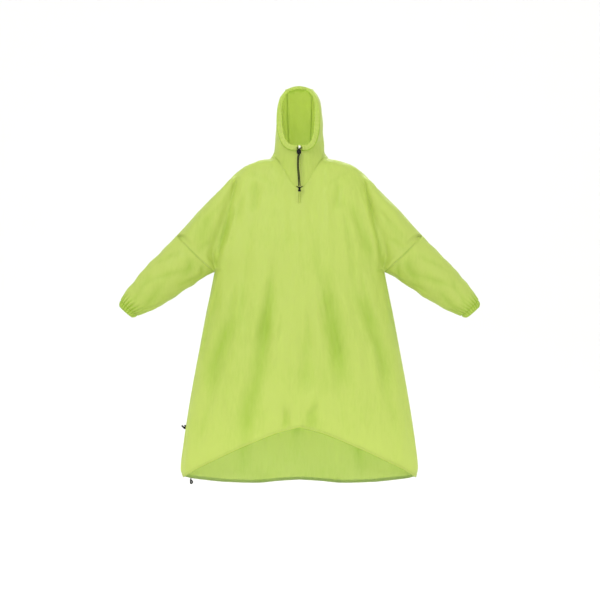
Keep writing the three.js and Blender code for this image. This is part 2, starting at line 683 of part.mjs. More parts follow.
// Face band: a flat casing in front of the hood edge, open at the chin for the zip
function makeFaceBand(name) {
  const rows = [];
  for (let k = 0; k <= BAND_STEPS; k += 1) {
    const turn = lerp(BAND_START, 360 - BAND_START, k / BAND_STEPS);
    const side = turn <= 180 ? 1 : -1;
    const degrees = turn <= 180 ? turn : 360 - turn;
    const outer = faceEdge(degrees, side);
    const width = lerp(BAND_LOW_WIDTH, BAND_TOP_WIDTH, softStep(70, 165, degrees));
    const middle = new THREE.Vector3(FACE_SHIFT * 0.5, outer.y, FACE_MID_Z);
    const inward = middle.clone().sub(outer);
    inward.multiply(new THREE.Vector3(1 / FACE_HALF_X, 0, 1 / FACE_HALF_Z)).normalize();
    const inner = outer.clone().addScaledVector(inward, width);
    const back = BAND_GAP;
    const front = BAND_GAP + BAND_THICK;
    const edge = (point, y) => point.clone().add(new THREE.Vector3(0, -y, 0));
    const mid = outer.clone().lerp(inner, 0.5);
    rows.push([
      edge(outer, back), edge(outer, front - 1.2), edge(outer.clone().lerp(inner, 0.12), front),
      edge(mid, front + 0.8), edge(inner.clone().lerp(outer, 0.12), front),
      edge(inner, front - 1.2), edge(inner, back), edge(mid, back),
    ]);
  }
  const positions = [];
  const index = [];
  const around = rows[0].length;
  rows.forEach((row) => row.forEach((p) => positions.push(p.x, p.y, p.z)));
  for (let j = 0; j < BAND_STEPS; j += 1) {
    for (let i = 0; i < around; i += 1) {
      const a = j * around + i;
      const b = j * around + ((i + 1) % around);
      index.push(a, b, b + around, a, b + around, a + around);
    }
  }
  const end = BAND_STEPS * around;
  for (let i = 1; i < around - 1; i += 1) {
    index.push(0, i + 1, i, end, end + i, end + i + 1);
  }
  return addMesh(name, solidFrom(positions, index), finish(NYLON));
}

// Zip: tape behind the slit, coil in the slit and slider at the top

// Points up the middle of the front, on the panel and then on the hood edge
function zipLine(from, to) {
  const points = [];
  ZIP_HEIGHTS.forEach((z) => {
    const y = -bodyDepth(0, z, 'front', FRONT_FOLDS);
    if (z >= from) points.push(new THREE.Vector3(0, y, z));
  });
  HOOD.slice(1).filter((row) => row.frontY !== undefined).forEach((row) => {
    points.push(new THREE.Vector3(0, row.frontY, row.frontZ));
  });
  points.push(new THREE.Vector3(0, ZIP_TOP_Y, to));
  return points;
}

// A strip on the zip line: half width, and how far its faces lie behind the cloth surface
function makeStrip(name, line, half, near, far, curl) {
  const rows = line.map((p) => [-1, -0.34, 0.34, 1].map((share) => {
    const x = share * half;
    return new THREE.Vector3(x, p.y + near + x * x * curl, p.z);
  }));
  const inward = () => new THREE.Vector3(0, 1, 0);
  return addMesh(name, clothWall(rows, inward, { thick: far - near }), finish(NYLON));
}

function makeZip() {
  const tapeFar = TAPE_BEHIND + TAPE_THICK;
  const coilFar = TAPE_BEHIND - SEAM_GAP;
  const coilNear = coilFar - COIL_THICK;
  makeStrip('zip_tape', zipLine(ZIP_HEIGHTS[0], ZIP_TOP_Z), TAPE_HALF, TAPE_BEHIND, tapeFar, TAPE_CURL);
  makeStrip('zip_coil', zipLine(ZIP_HEIGHTS[1], ZIP_TOP_Z - 2), COIL_HALF, coilNear, coilFar, 0);
  const body = new THREE.BoxGeometry(SLIDER.wide, SLIDER.thick, SLIDER.high);
  const slider = addMesh('zip_slider', body, new THREE.MeshStandardMaterial({
    color: PALE_METAL, roughness: 0.35, metalness: 0.6,
  }));
  const sliderY = ZIP_TOP_Y + coilNear - SEAM_GAP - SLIDER.thick / 2;
  slider.position.set(0, sliderY, SLIDER.z);
}

// Cord lock, the two drawcord strands, the knot with its tails, and the end cap

function latheAbout(points, segments) {
  const profile = points.map(([r, h]) => new THREE.Vector2(r, h));
  return new THREE.LatheGeometry(profile, segments).rotateX(Math.PI / 2);
}

function makeCord(name, route) {
  const curve = new THREE.CatmullRomCurve3(route.map((p) => new THREE.Vector3(...p)));
  const section = new THREE.Shape();
  for (let k = 0; k < CORD_SIDES; k += 1) {
    const angle = (2 * Math.PI * k) / CORD_SIDES;
    const [x, y] = [CORD_RADIUS * Math.cos(angle), CORD_RADIUS * Math.sin(angle)];
    if (k === 0) section.moveTo(x, y);
    else section.lineTo(x, y);
  }
  section.closePath();
  const steps = Math.max(Math.round(curve.getLength() / (5 * CORD_RADIUS)), 2);
  const geometry = new THREE.ExtrudeGeometry(section, {
    steps, extrudePath: curve, bevelEnabled: false, curveSegments: 1,
  });
  return addMesh(name, geometry, finish(BLACK));
}

function makeCordLock() {
  const half = LOCK.high / 2;
  const ring = [
    [LOCK.hole, -half + 1], [LOCK.hole + 1, -half], [LOCK.radius * 0.72, -half],
    [LOCK.radius, -half * 0.55], [LOCK.radius, half * 0.55], [LOCK.radius * 0.72, half],
    [LOCK.hole + 1, half], [LOCK.hole, half - 1], [LOCK.hole, -half + 1],
  ];
  const lock = addMesh('cord_lock', latheAbout(ring, 20), finish(BLACK));
  lock.position.set(LOCK.x, LOCK.y, LOCK.z);
}

function makeCordEnd() {
  const knot = addMesh('drawcord_knot', new THREE.SphereGeometry(KNOT.radius, 14, 10), finish(BLACK));
  knot.position.set(0, KNOT.y, KNOT.z);
  const { radius, high } = CORD_CAP;
  const half = high / 2;
  const barrel = [[0, -half], [radius - 1.2, -half], [radius, 1.2 - half], [radius, half - 1.2],
    [radius - 1.2, half], [0, half]];
  const cap = addMesh('drawcord_cap', latheAbout(barrel, 14), finish(BLACK));
  cap.position.set(0, KNOT.y, KNOT.z - KNOT.radius - SEAM_GAP - half);
  [-1, 1].forEach((side) => {
    const start = KNOT.radius + SEAM_GAP + 0.2;
    const rise = degToRad(TAIL_RISE);
    const route = [0, 0.5, 1].map((share) => {
      const reach = start + TAIL_LENGTH * share;
      return [side * reach * Math.cos(rise), KNOT.y, KNOT.z + reach * Math.sin(rise)];
    });
    makeCord(side < 0 ? 'drawcord_tail_left' : 'drawcord_tail_right', route);
  });
}

// Black tape loops at the left side seam and under the left end of the back hem

function makeLoop(name, outline, gap, place) {
  const shape = new THREE.Shape(outline.map(([x, y]) => new THREE.Vector2(x, y)));
  if (gap.length > 0) shape.holes.push(new THREE.Path(gap.map(([x, y]) => new THREE.Vector2(x, y))));
  const geometry = new THREE.ExtrudeGeometry(shape, { depth: LOOP_THICK, bevelEnabled: false });
  geometry.rotateX(Math.PI / 2);
  const loop = addMesh(name, geometry, finish(BLACK));
  loop.position.copy(place);
}

function makeLoops() {
  const t = LOOP_TAPE;
  const fold = [[0, 0], [-16 + t, 14], [-16, 14 - t * 0.7], [-t * 0.8, -4], [0.6, -4], [3, 6],
    [1.6, 15], [-2.6, 14.4], [-1.4, 6]];
  const seamX = bodyEdge(-1067);
  makeLoop('side_loop', fold, [], new THREE.Vector3(-seamX - 3.4, LOOP_THICK / 2, -1074));
  const dee = [[-3.5, 0], [3, 0], [3.6, -8], [9, -13], [7, -18], [2, -23], [-3.4, -24]];
  const slot = [[0, -11], [0, -18], [3.2, -15], [3.2, -13]];
  const x = 440;
  const hemZ = column(BACK_HEM, 'x', 'z', x);
  const y = bodyDepth(x, hemZ, 'back', BACK_FOLDS);
  makeLoop('hem_loop', dee, slot, new THREE.Vector3(-x, y, hemZ - 0.5));
}

makePanel('front_panel', 'front', FRONT_FOLDS, FRONT_HEM);
makePanel('back_panel', 'back', BACK_FOLDS, BACK_HEM);
[-1, 1].forEach((side) => {
  const hand = side < 0 ? 'left' : 'right';
  makeSleeve(`sleeve_${hand}`, side);
  makeCuff(`cuff_${hand}`, side);
  makeHoodSide(`hood_side_${hand}`, side);
});
makeHoodCentre('hood_centre');
makeFaceBand('face_band');
makeZip();
makeCordLock();
makeCord('drawcord_left', LEFT_CORD);
makeCord('drawcord_right', RIGHT_CORD);
makeCordEnd();
makeLoops();

export default part;
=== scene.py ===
"""Hooded rain poncho of thin coated nylon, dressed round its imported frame.

Tables and surface functions are in millimetres in the frame's own axes: +Z up, the wearer
faces -Y, and +X is on the viewer's right. Meshes are in metres.
"""
import math

import bmesh
import bpy
import numpy as np
from bpy.props import FloatProperty, FloatVectorProperty, PointerProperty
from mathutils import Matrix, Vector, noise


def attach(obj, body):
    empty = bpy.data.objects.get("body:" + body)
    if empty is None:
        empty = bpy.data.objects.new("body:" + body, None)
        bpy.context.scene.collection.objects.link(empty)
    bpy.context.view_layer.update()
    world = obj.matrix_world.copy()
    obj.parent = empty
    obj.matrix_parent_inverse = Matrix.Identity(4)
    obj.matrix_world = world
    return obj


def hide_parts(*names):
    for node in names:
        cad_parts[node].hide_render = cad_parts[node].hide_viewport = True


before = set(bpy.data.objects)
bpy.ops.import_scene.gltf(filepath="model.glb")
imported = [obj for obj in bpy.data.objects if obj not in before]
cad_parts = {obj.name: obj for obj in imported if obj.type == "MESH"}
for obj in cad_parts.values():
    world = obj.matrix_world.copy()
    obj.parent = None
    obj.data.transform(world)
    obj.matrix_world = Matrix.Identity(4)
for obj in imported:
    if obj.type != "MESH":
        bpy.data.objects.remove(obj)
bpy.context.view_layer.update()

bl_info = {
    "name": "Rain poncho",
    "version": (1, 0, 0),
    "blender": (4, 5, 0),
    "location": "View3D > Sidebar > Poncho",
    "description": "Thin cloth shells, trims and a plain studio for a hooded rain poncho",
    "category": "Object",
}

MM = 0.001

# Cut and pose of the garment, as in the solids
WALL = 1.6
SEAM_GAP = 0.3
LAST_COLUMN = 16
NECK_SIDE_X = 114
NECK_FRONT_Y = 98
NECK_BACK_Y = 84
NECK_TOP_Z = 8
NECK_FRONT_DROP = 127
NECK_BACK_RISE = 6
NECK_BLEND_Z = -220
NECK_U_POWER = 5
ZIP_SLIT_HALF = 4
ZIP_BOTTOM_Z = -180
SHOULDER_TIP_Z = -40
HEM_SIDE_Z = -1268
HEM_SIDE_X = 466
ARMHOLE_TOP = (493, -304)
ARMPIT = (340, -448)
ARMHOLE_DEPTH = 80
ARMHOLE_BLEND = 46
SECTION_POWER = 2.4
ARM_BLEND = 18
FOLD_FULL_DEPTH = 70
CREASE_COLUMN = 11
SEAM_EASE = 6
BODY_MIDDLE = (0, 0, -600)
HOOD_MIDDLE = (0, 0, 120)
CROWN_MIDDLE = (0, 0, 150)
CASING_MIDDLE = (0, -121, 160)


def named(columns, rows):
    """Rows of numbers as dictionaries with these column names."""
    return [dict(zip(columns.split(), row)) for row in rows]


SHOULDER = named("z x", [
    (8, 114), (-16, 196), (-40, 238), (-64, 266), (-88, 286), (-136, 334), (-208, 406),
    (-256, 448), (-304, 493), (-352, 542), (-400, 588), (-448, 632),
])
SIDE_SEAM = named("z x", [
    (-448, 340), (-520, 354), (-616, 374), (-744, 398), (-872, 422), (-1000, 444),
    (-1128, 463), (-1230, 474), (HEM_SIDE_Z, HEM_SIDE_X),
])
CREASE = named("z x", [
    (8, 84), (-40, 190), (-88, 246), (-136, 268), (-208, 290), (-304, 318), (-376, 328),
    (-448, 322), (-680, 312), (HEM_SIDE_Z, 380),
])
BODY = named("z front back torso arm_in arm", [
    (8, 72, 70, 114, 100, 0), (-40, 85, 92, 238, 220, 0), (-88, 94, 106, 284, 244, 56),
    (-136, 101, 115, 306, 257, 70), (-208, 114, 122, 326, 274, 80),
    (-304, 130, 129, 350, 300, 84), (-376, 139, 135, 360, 318, 82),
    (-448, 147, 142, 342, 330, 76), (-680, 169, 167, 386, 380, 0),
    (-1000, 199, 205, 444, 440, 0), (-1310, 226, 232, 466, 460, 0),
])
FRONT_HEM = named("x z", [
    (0, -1054), (90, -1078), (218, -1131), (292, -1166), (358, -1200), (413, -1230),
    (HEM_SIDE_X, HEM_SIDE_Z),
])
BACK_HEM = named("x z", [
    (0, -1306), (85, -1311), (175, -1318), (305, -1310), (378, -1298), (438, -1283),
    (HEM_SIDE_X, HEM_SIDE_Z),
])

# Soft troughs (deep above 0) and ridges (below 0) along bowed lines on the panels. The
# first rows are the main folds of the solids, the rest are finer ones.
FOLD_COLUMNS = "x0 z0 x1 z1 width deep bow"
FRONT_FOLDS = named(FOLD_COLUMNS, [
    (-226, -148, -306, -348, 24, 11, 4), (202, -172, 294, -400, 24, 12, 4),
    (-174, -92, -176, -212, 26, 10, 0), (150, -100, 154, -200, 24, 9, 0),
    (-270, -640, -358, -908, 36, 17, 5), (-118, -560, -206, -1068, 38, 19, -8),
    (22, -680, 24, -900, 28, 10, 0), (110, -480, 174, -868, 36, 22, 6),
    (230, -532, 350, -880, 36, 16, -5), (-62, -960, -56, -1056, 22, 8, 0),
    (62, -960, 56, -1056, 22, 9, 0),
    (-250, -92, -332, -430, 8, 12, 2), (262, -120, 334, -430, 8, 12, -3),
    (-228, -110, -308, -440, 10, -6, 2), (240, -130, 310, -440, 10, -6, -3),
    (-196, -316, -232, -640, 20, 8, 5), (176, -220, 214, -480, 16, 8, -3),
    (-100, -420, -150, -760, 17, 8, 3), (96, -520, 146, -780, 15, 8, 2),
    (-208, -900, -206, -1150, 24, 6, 0), (42, -985, 40, -1068, 20, 10, 0),
    (-52, -985, -48, -1062, 12, 8, 0),
    (-346, -230, -404, -340, 24, 8, 0), (338, -236, 396, -340, 24, 8, 0),
    (30, -600, 40, -760, 12, 7, 0), (-28, -700, -36, -860, 13, 6, 0),
    (78, -560, 104, -700, 11, 6, 0), (-70, -640, -92, -820, 12, 6, 2),
    (-250, -480, -276, -640, 13, 6, 0), (246, -470, 282, -640, 13, 6, 0),
    (-60, -300, -112, -620, 22, 4, 6), (58, -330, 84, -600, 20, 5, -5),
    (-322, -500, -392, -800, 15, 8, 0), (344, -508, 388, -740, 15, 8, 0),
    (-20, -470, -34, -760, 17, -4, 0), (66, -560, 88, -860, 16, -5, 3),
    (-214, -620, -296, -980, 18, -6, 5), (176, -560, 262, -900, 18, -7, -4),
    (-74, -300, -90, -520, 15, -4, 0), (-150, -150, -168, -300, 14, -4, 2),
    (112, -160, 118, -300, 13, -4, 0), (300, -700, 380, -1080, 20, 6, 4),
    (-330, -860, -400, -1130, 20, 6, -4), (-130, -980, -150, -1090, 18, 5, 0),
    (150, -900, 190, -1110, 19, 5, 2), (4, -940, 2, -1052, 13, -4, 0),
    (-40, -196, -26, -330, 12, 3, 3), (36, -192, 50, -300, 12, 3, -2),
    (-200, -50, -96, -116, 12, 4, -6), (206, -52, 100, -120, 12, 4, 6),
    (-290, -170, -420, -300, 15, 4, 5), (300, -200, 420, -320, 14, 5, -4),
    (-350, -330, -410, -380, 12, 5, 3), (352, -316, 424, -372, 12, 5, -3),
])
BACK_FOLDS = named(FOLD_COLUMNS, [
    (-210, -150, -300, -390, 26, 12, 3), (222, -160, 300, -360, 26, 11, -3),
    (-96, -330, -172, -900, 38, 19, 8), (84, -420, 128, -1040, 38, 21, -7),
    (-250, -560, -338, -960, 36, 16, 5), (236, -520, 340, -1010, 38, 18, -6),
    (-10, -700, -14, -1180, 32, 13, 4),
    (-258, -96, -334, -420, 12, 8, -8), (254, -100, 340, -420, 12, 8, 8),
    (-40, -180, -62, -520, 20, 5, 4), (46, -200, 40, -480, 18, 5, -3),
    (-170, -380, -240, -700, 20, -6, 4), (176, -420, 232, -800, 20, -6, -4),
    (-52, -600, -84, -1000, 18, -5, 3), (56, -640, 70, -1100, 18, -5, -3),
    (-330, -520, -398, -840, 15, 8, 0), (338, -510, 396, -800, 15, 8, 0),
    (-200, -900, -236, -1260, 24, 8, 4), (204, -980, 250, -1280, 24, 8, -4),
    (-330, -960, -390, -1240, 20, 6, 3), (330, -1000, 392, -1240, 20, 6, -3),
    (0, -40, 0, -300, 16, -4, 2), (-130, -60, -176, -260, 18, 5, -4),
    (128, -60, 170, -250, 18, 5, 4), (-300, -170, -420, -300, 15, 4, 4),
    (296, -190, 420, -310, 15, 5, -4),
])

# Sleeve rings: top and bottom of each ring in the front view, and half its depth
RING_COLUMNS = "at top_x top_z low_x low_z half"
SLEEVE = named(RING_COLUMNS, [
    (0, 493, -304, 340, -448, 80), (1, 526, -339, 374, -464, 79),
    (2, 568, -380, 420, -495, 75), (3, 612, -426, 471, -530, 68),
    (4, 653, -474, 526, -566, 60), (5, 690, -519, 584, -599, 52),
    (6, 714, -558, 646, -622, 44),
])
CUFF = named(RING_COLUMNS, [
    (0, 714, -558, 646, -622, 44), (1, 720, -572, 657, -628, 39),
    (2, 721, -585, 669, -631, 34),
])
# Creases on the sleeve: place along it in rings, angle round it from the top over the
# front, turn per ring, half width in degrees, depth and length in rings
SLEEVE_FOLDS = named("ring angle slope width deep long", [
    (1.4, 118, 16, 16, 6, 1.1), (2.8, 96, -20, 13, 5, 1.1), (4.4, 122, 14, 15, 5, 1.1),
    (3.4, 248, 18, 15, 6, 1.1), (0.7, 140, 30, 9, 5, 0.7), (1.9, 60, -14, 12, 4, 0.9),
    (3.9, 66, 16, 11, 3, 0.8), (2.3, 150, -12, 9, 4, 0.8), (5.1, 84, 18, 8, 3, 0.5),
    (1.2, 232, -18, 12, 5, 0.9), (4.6, 218, -14, 12, 4, 0.8), (2.4, 300, 12, 13, 4, 0.9),
    (5.2, 150, -20, 8, 3, 0.5), (5.3, 280, 12, 9, 3, 0.5),
])
CUFF_GATHERS = 22

# Hood: edge of the face opening and rows from the neckline to the crown
FACE_HALF_X = 85
FACE_HALF_Z = 126
FACE_LOW_POWER = 0.58
FACE_TOP_POWER = 0.75
FACE_DROP_POWER = 0.85
FACE_MID_Z = 151
FACE_SHIFT = -5
FACE_Y = -118
FACE_TOP_ANGLE = 150
BAND_GAP = 0.6
BAND_THICK = 4.8
BAND_LOW_WIDTH = 23
BAND_TOP_WIDTH = 11
BAND_START = 1.3
HOOD = named("face front_y front_z side_x side_y side_z back_x back_y back_z", [
    (None, -98, -119, 114, 0, 8, 41, 78, 14), (None, -102, -80, 102, -4, 30, 42, 88, 34),
    (None, -109, -26, 98, -4, 58, 43, 102, 62), (None, -118, 20, 96, -3, 86, 44, 114, 94),
    (24, 0, 0, 94, -2, 112, 45, 123, 124), (44, 0, 0, 93, 0, 136, 46, 129, 152),
    (66, 0, 0, 91, 0, 160, 47, 131, 180), (89, 0, 0, 89, 0, 186, 48, 128, 207),
    (111, 0, 0, 86, 0, 214, 48, 118, 233), (131, 0, 0, 77, 0, 246, 49, 98, 255),
    (FACE_TOP_ANGLE, 0, 0, 53, 0, 282, 49, 68, 274),
])
HOOD_SEAM_COLUMN = 5
HOOD_LAST = 2 * LAST_COLUMN - HOOD_SEAM_COLUMN
CENTRE_FRONT_RISE = 17
CENTRE_RISE = 10
CENTRE_INSET = 0.988
CENTRE_LAST = 25

# Zip, cord lock, cords and loops
ZIP_TOP_Z = 48
ZIP_TOP_Y = -119.5
TAPE_FOOT_Z = -188
COIL_FOOT_Z = -174
TAPE_HALF = 15
TAPE_BEHIND = 1.9
TOOTH_PITCH = 2.4
STITCH_FROM_ZIP = 14
SLIDER_Z = 39
LOCK = {"x": -2.5, "y": -134.5, "z": 20, "radius": 9, "hole": 5, "high": 16}
CORD_RADIUS = 2
KNOT = {"y": -133, "z": -121.5, "radius": 5.5}
CAP = {"radius": 6, "high": 8.5}
TAIL_RISE = 24
LEFT_CORD = [
    (-9.5, -125.3, 36), (-8, -131, 34.8), (-5.6, -134.3, 31.8), (-4.75, -134.5, 27),
    (-4.7, -134.5, 19.5), (-4.85, -134.5, 13), (-6.85, -134.7, -1), (-7.85, -134.8, -26),
    (-7.3, -134.6, -46), (-5.5, -134.2, -70), (-4.1, -133.7, -93), (-3, -133.2, -108),
    (-2.7, -133, -115.2),
]
RIGHT_CORD = [
    (9.5, -125.3, 36), (5.5, -131, 34.6), (0.6, -134.3, 31.6), (-0.25, -134.5, 27),
    (-0.3, -134.5, 19.5), (-0.4, -134.5, 13), (-2.4, -134.5, -1), (-3.4, -134.4, -26),
    (-2.8, -134.3, -46), (-0.95, -134, -70), (0.65, -133.6, -93), (2.2, -133.2, -108),
    (2.7, -133, -115.2),
]


# Smooth values and surfaces

def smooth_value(rows, key, name, at):
    """Smooth value of a named column at keys between the rows."""
    keys = np.array([row[key] for row in rows], float)
    values = np.array([row[name] for row in rows], float)
    if keys[0] > keys[-1]:
        keys, values = keys[::-1], values[::-1]
    low = np.maximum(np.arange(len(keys)) - 1, 0)
    high = np.minimum(np.arange(len(keys)) + 1, len(keys) - 1)
    slopes = (values[high] - values[low]) / (keys[high] - keys[low])
    at = np.asarray(at, float)
    i = np.clip(np.searchsorted(keys, at, side="right") - 1, 0, len(keys) - 2)
    span = keys[i + 1] - keys[i]
    t = np.clip((at - keys[i]) / span, 0, 1)
    return (
        (1 + 2 * t) * (1 - t) ** 2 * values[i] + t * t * (3 - 2 * t) * values[i + 1]
        + t * (1 - t) ** 2 * span * slopes[i] + t * t * (t - 1) * span * slopes[i + 1]
    )


def soft_step(low, high, at):
    """0 up to low, 1 from high on, and a smooth rise between them."""
    t = np.clip((np.asarray(at, float) - low) / (high - low), 0, 1)
    return t * t * (3 - 2 * t)


def mix(a, b, t):
    return a + (b - a) * t


def bell(off, width):
    """1 in the middle and nearly 0 past twice the width."""
    return np.exp(-((off / width) ** 2))


def crease(share):
    """A sharper line than the bell, rounded off at its very middle."""
    return np.exp(-np.sqrt(share ** 2 + 0.2))


def soft_max(a, b, reach):
    share = np.clip(0.5 + 0.5 * (a - b) / reach, 0, 1)
    return mix(b, a, share) + reach * share * (1 - share) * 0.5


def body_edge(z):
    """Half width of the body: shoulder line, slanted armhole, then side seam."""
    share = (z - ARMHOLE_TOP[1]) / (ARMPIT[1] - ARMHOLE_TOP[1])
    armhole = mix(ARMHOLE_TOP[0], ARMPIT[0], share)
    lower = np.where(z <= ARMPIT[1], smooth_value(SIDE_SEAM, "z", "x", z), armhole)
    return np.where(z >= ARMHOLE_TOP[1], smooth_value(SHOULDER, "z", "x", z), lower)


def armhole_depth(z):
    """Half depth of the armhole: an ellipse between its top and the armpit."""
    share = np.clip((z - ARMHOLE_TOP[1]) / (ARMPIT[1] - ARMHOLE_TOP[1]), 0, 1)
    return ARMHOLE_DEPTH * np.sqrt(1 - (2 * share - 1) ** 2)


def fold_relief(folds, x, z):
    """Depth of the folds: each is a trough with a crisper middle and low banks beside it."""
    depth = np.zeros(np.shape(x))
    for fold in folds:
        dx, dz = fold["x1"] - fold["x0"], fold["z1"] - fold["z0"]
        length = math.hypot(dx, dz)
        along = ((x - fold["x0"]) * dx + (z - fold["z0"]) * dz) / length ** 2
        off = ((x - fold["x0"]) * dz - (z - fold["z0"]) * dx) / length
        inside = np.clip(along, 0, 1)
        off = off - fold["bow"] * 4 * inside * (1 - inside)
        width = fold["width"] * mix(0.75, 1.2, inside)
        fade = soft_step(-0.2, 0.25, along) * (1 - soft_step(0.75, 1.2, along))
        banks = bell(np.abs(off) - 1.9 * width, 0.8 * width)
        shape = 0.62 * bell(off, width) + 0.32 * crease(off / (0.3 * width)) - 0.1 * banks
        depth += fold["deep"] * fade * shape
    return depth


def body_depth(x, z, face, folds):
    """Distance of the cloth from the seam plane: torso and arm, softly joined."""
    side = np.abs(x)
    edge = body_edge(z)
    plain = (z <= ARMPIT[1]) | (z >= SHOULDER_TIP_Z)
    torso_x = np.where(plain, edge, smooth_value(BODY, "z", "torso", z))
    arm_out = np.where(plain, edge, smooth_value(SHOULDER, "z", "x", z))
    arm_mid = (arm_out + smooth_value(BODY, "z", "arm_in", z)) / 2
    arm_deep = np.where(plain, 0, np.maximum(smooth_value(BODY, "z", "arm", z), 0))
    deep = smooth_value(BODY, "z", face, z)

    def depth_at(place):
        torso = deep * np.sqrt(1 - np.clip(place / torso_x, 0, 1) ** SECTION_POWER)
        share = np.clip(np.abs(place - arm_mid) / np.maximum(arm_out - arm_mid, 1), 0, 1)
        arm = arm_deep * np.sqrt(1 - share ** 2)
        return np.where(arm_deep > 0, soft_max(torso, arm, ARM_BLEND), torso)

    # Above the armhole the panels close in on the shoulder seam
    gap = np.where((z >= ARMHOLE_TOP[1]) & ~plain, depth_at(edge), 0)
    closing = gap * np.exp((side - edge) / np.maximum(2 * gap, SEAM_EASE))
    both = np.maximum(depth_at(side) - closing, 0)
    relief = fold_relief(folds, x, z) * np.clip(both / FOLD_FULL_DEPTH, 0, 1)
    cloth = np.maximum(both - relief, 0)
    blended = mix(cloth, armhole_depth(z), soft_step(edge - ARMHOLE_BLEND, edge, side))
    return np.where((z >= ARMHOLE_TOP[1]) | (z <= ARMPIT[1]), cloth, blended)


def column_x(side, k, z):
    """Place of a column at a height. From k = -1 to 0 it runs across half the zip slit."""
    crease = smooth_value(CREASE, "z", "x", z)
    share = np.clip((k - CREASE_COLUMN) / (LAST_COLUMN - CREASE_COLUMN), 0, 1)
    inner = mix(ZIP_SLIT_HALF, crease, k / CREASE_COLUMN)
    outer = mix(crease, body_edge(z), np.sin(share * math.pi / 2))
    slit = ZIP_SLIT_HALF * (1 + k)
    return side * np.where(k < 0, slit, np.where(k <= CREASE_COLUMN, inner, outer))


def neckline(x, face):
    """Neckline seam: a wide U at the front and a shallow arc at the back."""
    sine = np.clip(x / NECK_SIDE_X, -1, 1)
    cosine = np.sqrt(1 - sine ** 2)
    if face == "front":
        z = NECK_TOP_Z - NECK_FRONT_DROP * cosine ** NECK_U_POWER
        return np.stack([x, -NECK_FRONT_Y * cosine, z], -1)
    return np.stack([x, NECK_BACK_Y * cosine, NECK_TOP_Z + NECK_BACK_RISE * cosine], -1)


def panel_points(face, folds, hem, side, k, heights):
    """Outer surface of a body panel at signed columns and nominal row heights."""
    sign = -1 if face == "front" else 1
    neck = neckline(column_x(side, k, NECK_TOP_Z + 0 * k), face)
    nominal = heights[:, None] + 0 * k[None, :]
    x = column_x(side[None, :], k[None, :], nominal)
    hem_x = np.abs(column_x(side, k, HEM_SIDE_Z + 0 * k))
    reach = smooth_value(hem, "x", "z", hem_x) - ARMPIT[1]
    rise = (nominal - NECK_BLEND_Z) / (NECK_TOP_Z - NECK_BLEND_Z)
    upper = nominal + (neck[None, :, 2] - NECK_TOP_Z) * np.clip(rise, 0, 1)
    lower = ARMPIT[1] + (nominal - ARMPIT[1]) * reach / (HEM_SIDE_Z - ARMPIT[1])
    z = np.where(nominal < ARMPIT[1], lower, upper)
    y = sign * (body_depth(x, z, face, folds) + SEAM_GAP / 2)
    near = 1 - soft_step(0, 12, NECK_TOP_Z - nominal)
    y = mix(y, neck[None, :, 1] + sign * SEAM_GAP / 2, near)
    x = mix(x, neck[None, :, 0], near)
    in_armhole = (nominal < ARMHOLE_TOP[1]) & (nominal > ARMPIT[1])
    x = x - np.where(in_armhole & (k >= LAST_COLUMN), side * SEAM_GAP, 0)
    return np.stack([x, y, z], -1)


def ring_points(rings, side, at, angle, grow):
    """Points of a sleeve or cuff: rows at places along it, angles round it from the top."""
    ring = {name: smooth_value(rings, "at", name, at)[:, None] for name in rings[0]}
    half_x = (ring["top_x"] - ring["low_x"]) / 2
    half_z = (ring["top_z"] - ring["low_z"]) / 2
    share = np.cos(angle) * (1 + grow / np.hypot(half_x, half_z))
    x = (ring["top_x"] + ring["low_x"]) / 2 + half_x * share
    z = (ring["top_z"] + ring["low_z"]) / 2 + half_z * share
    return np.stack([side * x, -(ring["half"] + grow) * np.sin(angle) + 0 * x, z], -1)


def face_edge(degrees, side):
    """Edge of the face opening, by the angle from its lowest point."""
    angle = np.radians(degrees)
    sine = np.maximum(np.sin(angle), 0)
    cosine = np.cos(angle)
    power = mix(FACE_LOW_POWER, FACE_TOP_POWER, (1 - cosine) / 2)
    x = side * FACE_HALF_X * sine ** power + FACE_SHIFT * sine
    y = FACE_Y - 6 * sine + 4 * ((1 - cosine) / 2) ** 3
    drop = np.where(cosine > 0, np.abs(cosine) ** FACE_DROP_POWER, cosine)
    return np.stack([x, y, FACE_MID_Z - FACE_HALF_Z * drop], -1)


def hood_row(index, side, k):
    """One given row of a hood side at columns k: front arc to 16, then the back arc."""
    row = HOOD[index]
    ahead = np.minimum(k, LAST_COLUMN)
    if index == 0:
        back_k = LAST_COLUMN - np.maximum(k - LAST_COLUMN, 0)
        front = neckline(column_x(side, ahead, NECK_TOP_Z + 0 * k), "front")
        back = neckline(column_x(side, back_k, NECK_TOP_Z + 0 * k), "back")
        return np.where((k <= LAST_COLUMN)[:, None], front, back)
    if row["face"] is None:
        start = np.array([side * ZIP_SLIT_HALF, row["front_y"], row["front_z"]])
    else:
        start = face_edge(float(row["face"]), side)
    turn = math.pi / 2 * ahead / LAST_COLUMN
    front = np.stack([
        mix(start[0], side * row["side_x"], np.sin(turn)),
        mix(row["side_y"], start[1], np.cos(turn)),
        mix(start[2], row["side_z"], ahead / LAST_COLUMN),
    ], -1)
    share = np.maximum(k - LAST_COLUMN, 0) / (LAST_COLUMN - HOOD_SEAM_COLUMN)
    back = np.stack([
        side * mix(row["back_x"], row["side_x"], np.cos(share * math.pi / 2)),
        mix(row["side_y"], row["back_y"], np.sin(share * math.pi / 2)),
        mix(row["side_z"], row["back_z"], share),
    ], -1)
    return np.where((k <= LAST_COLUMN)[:, None], front, back)


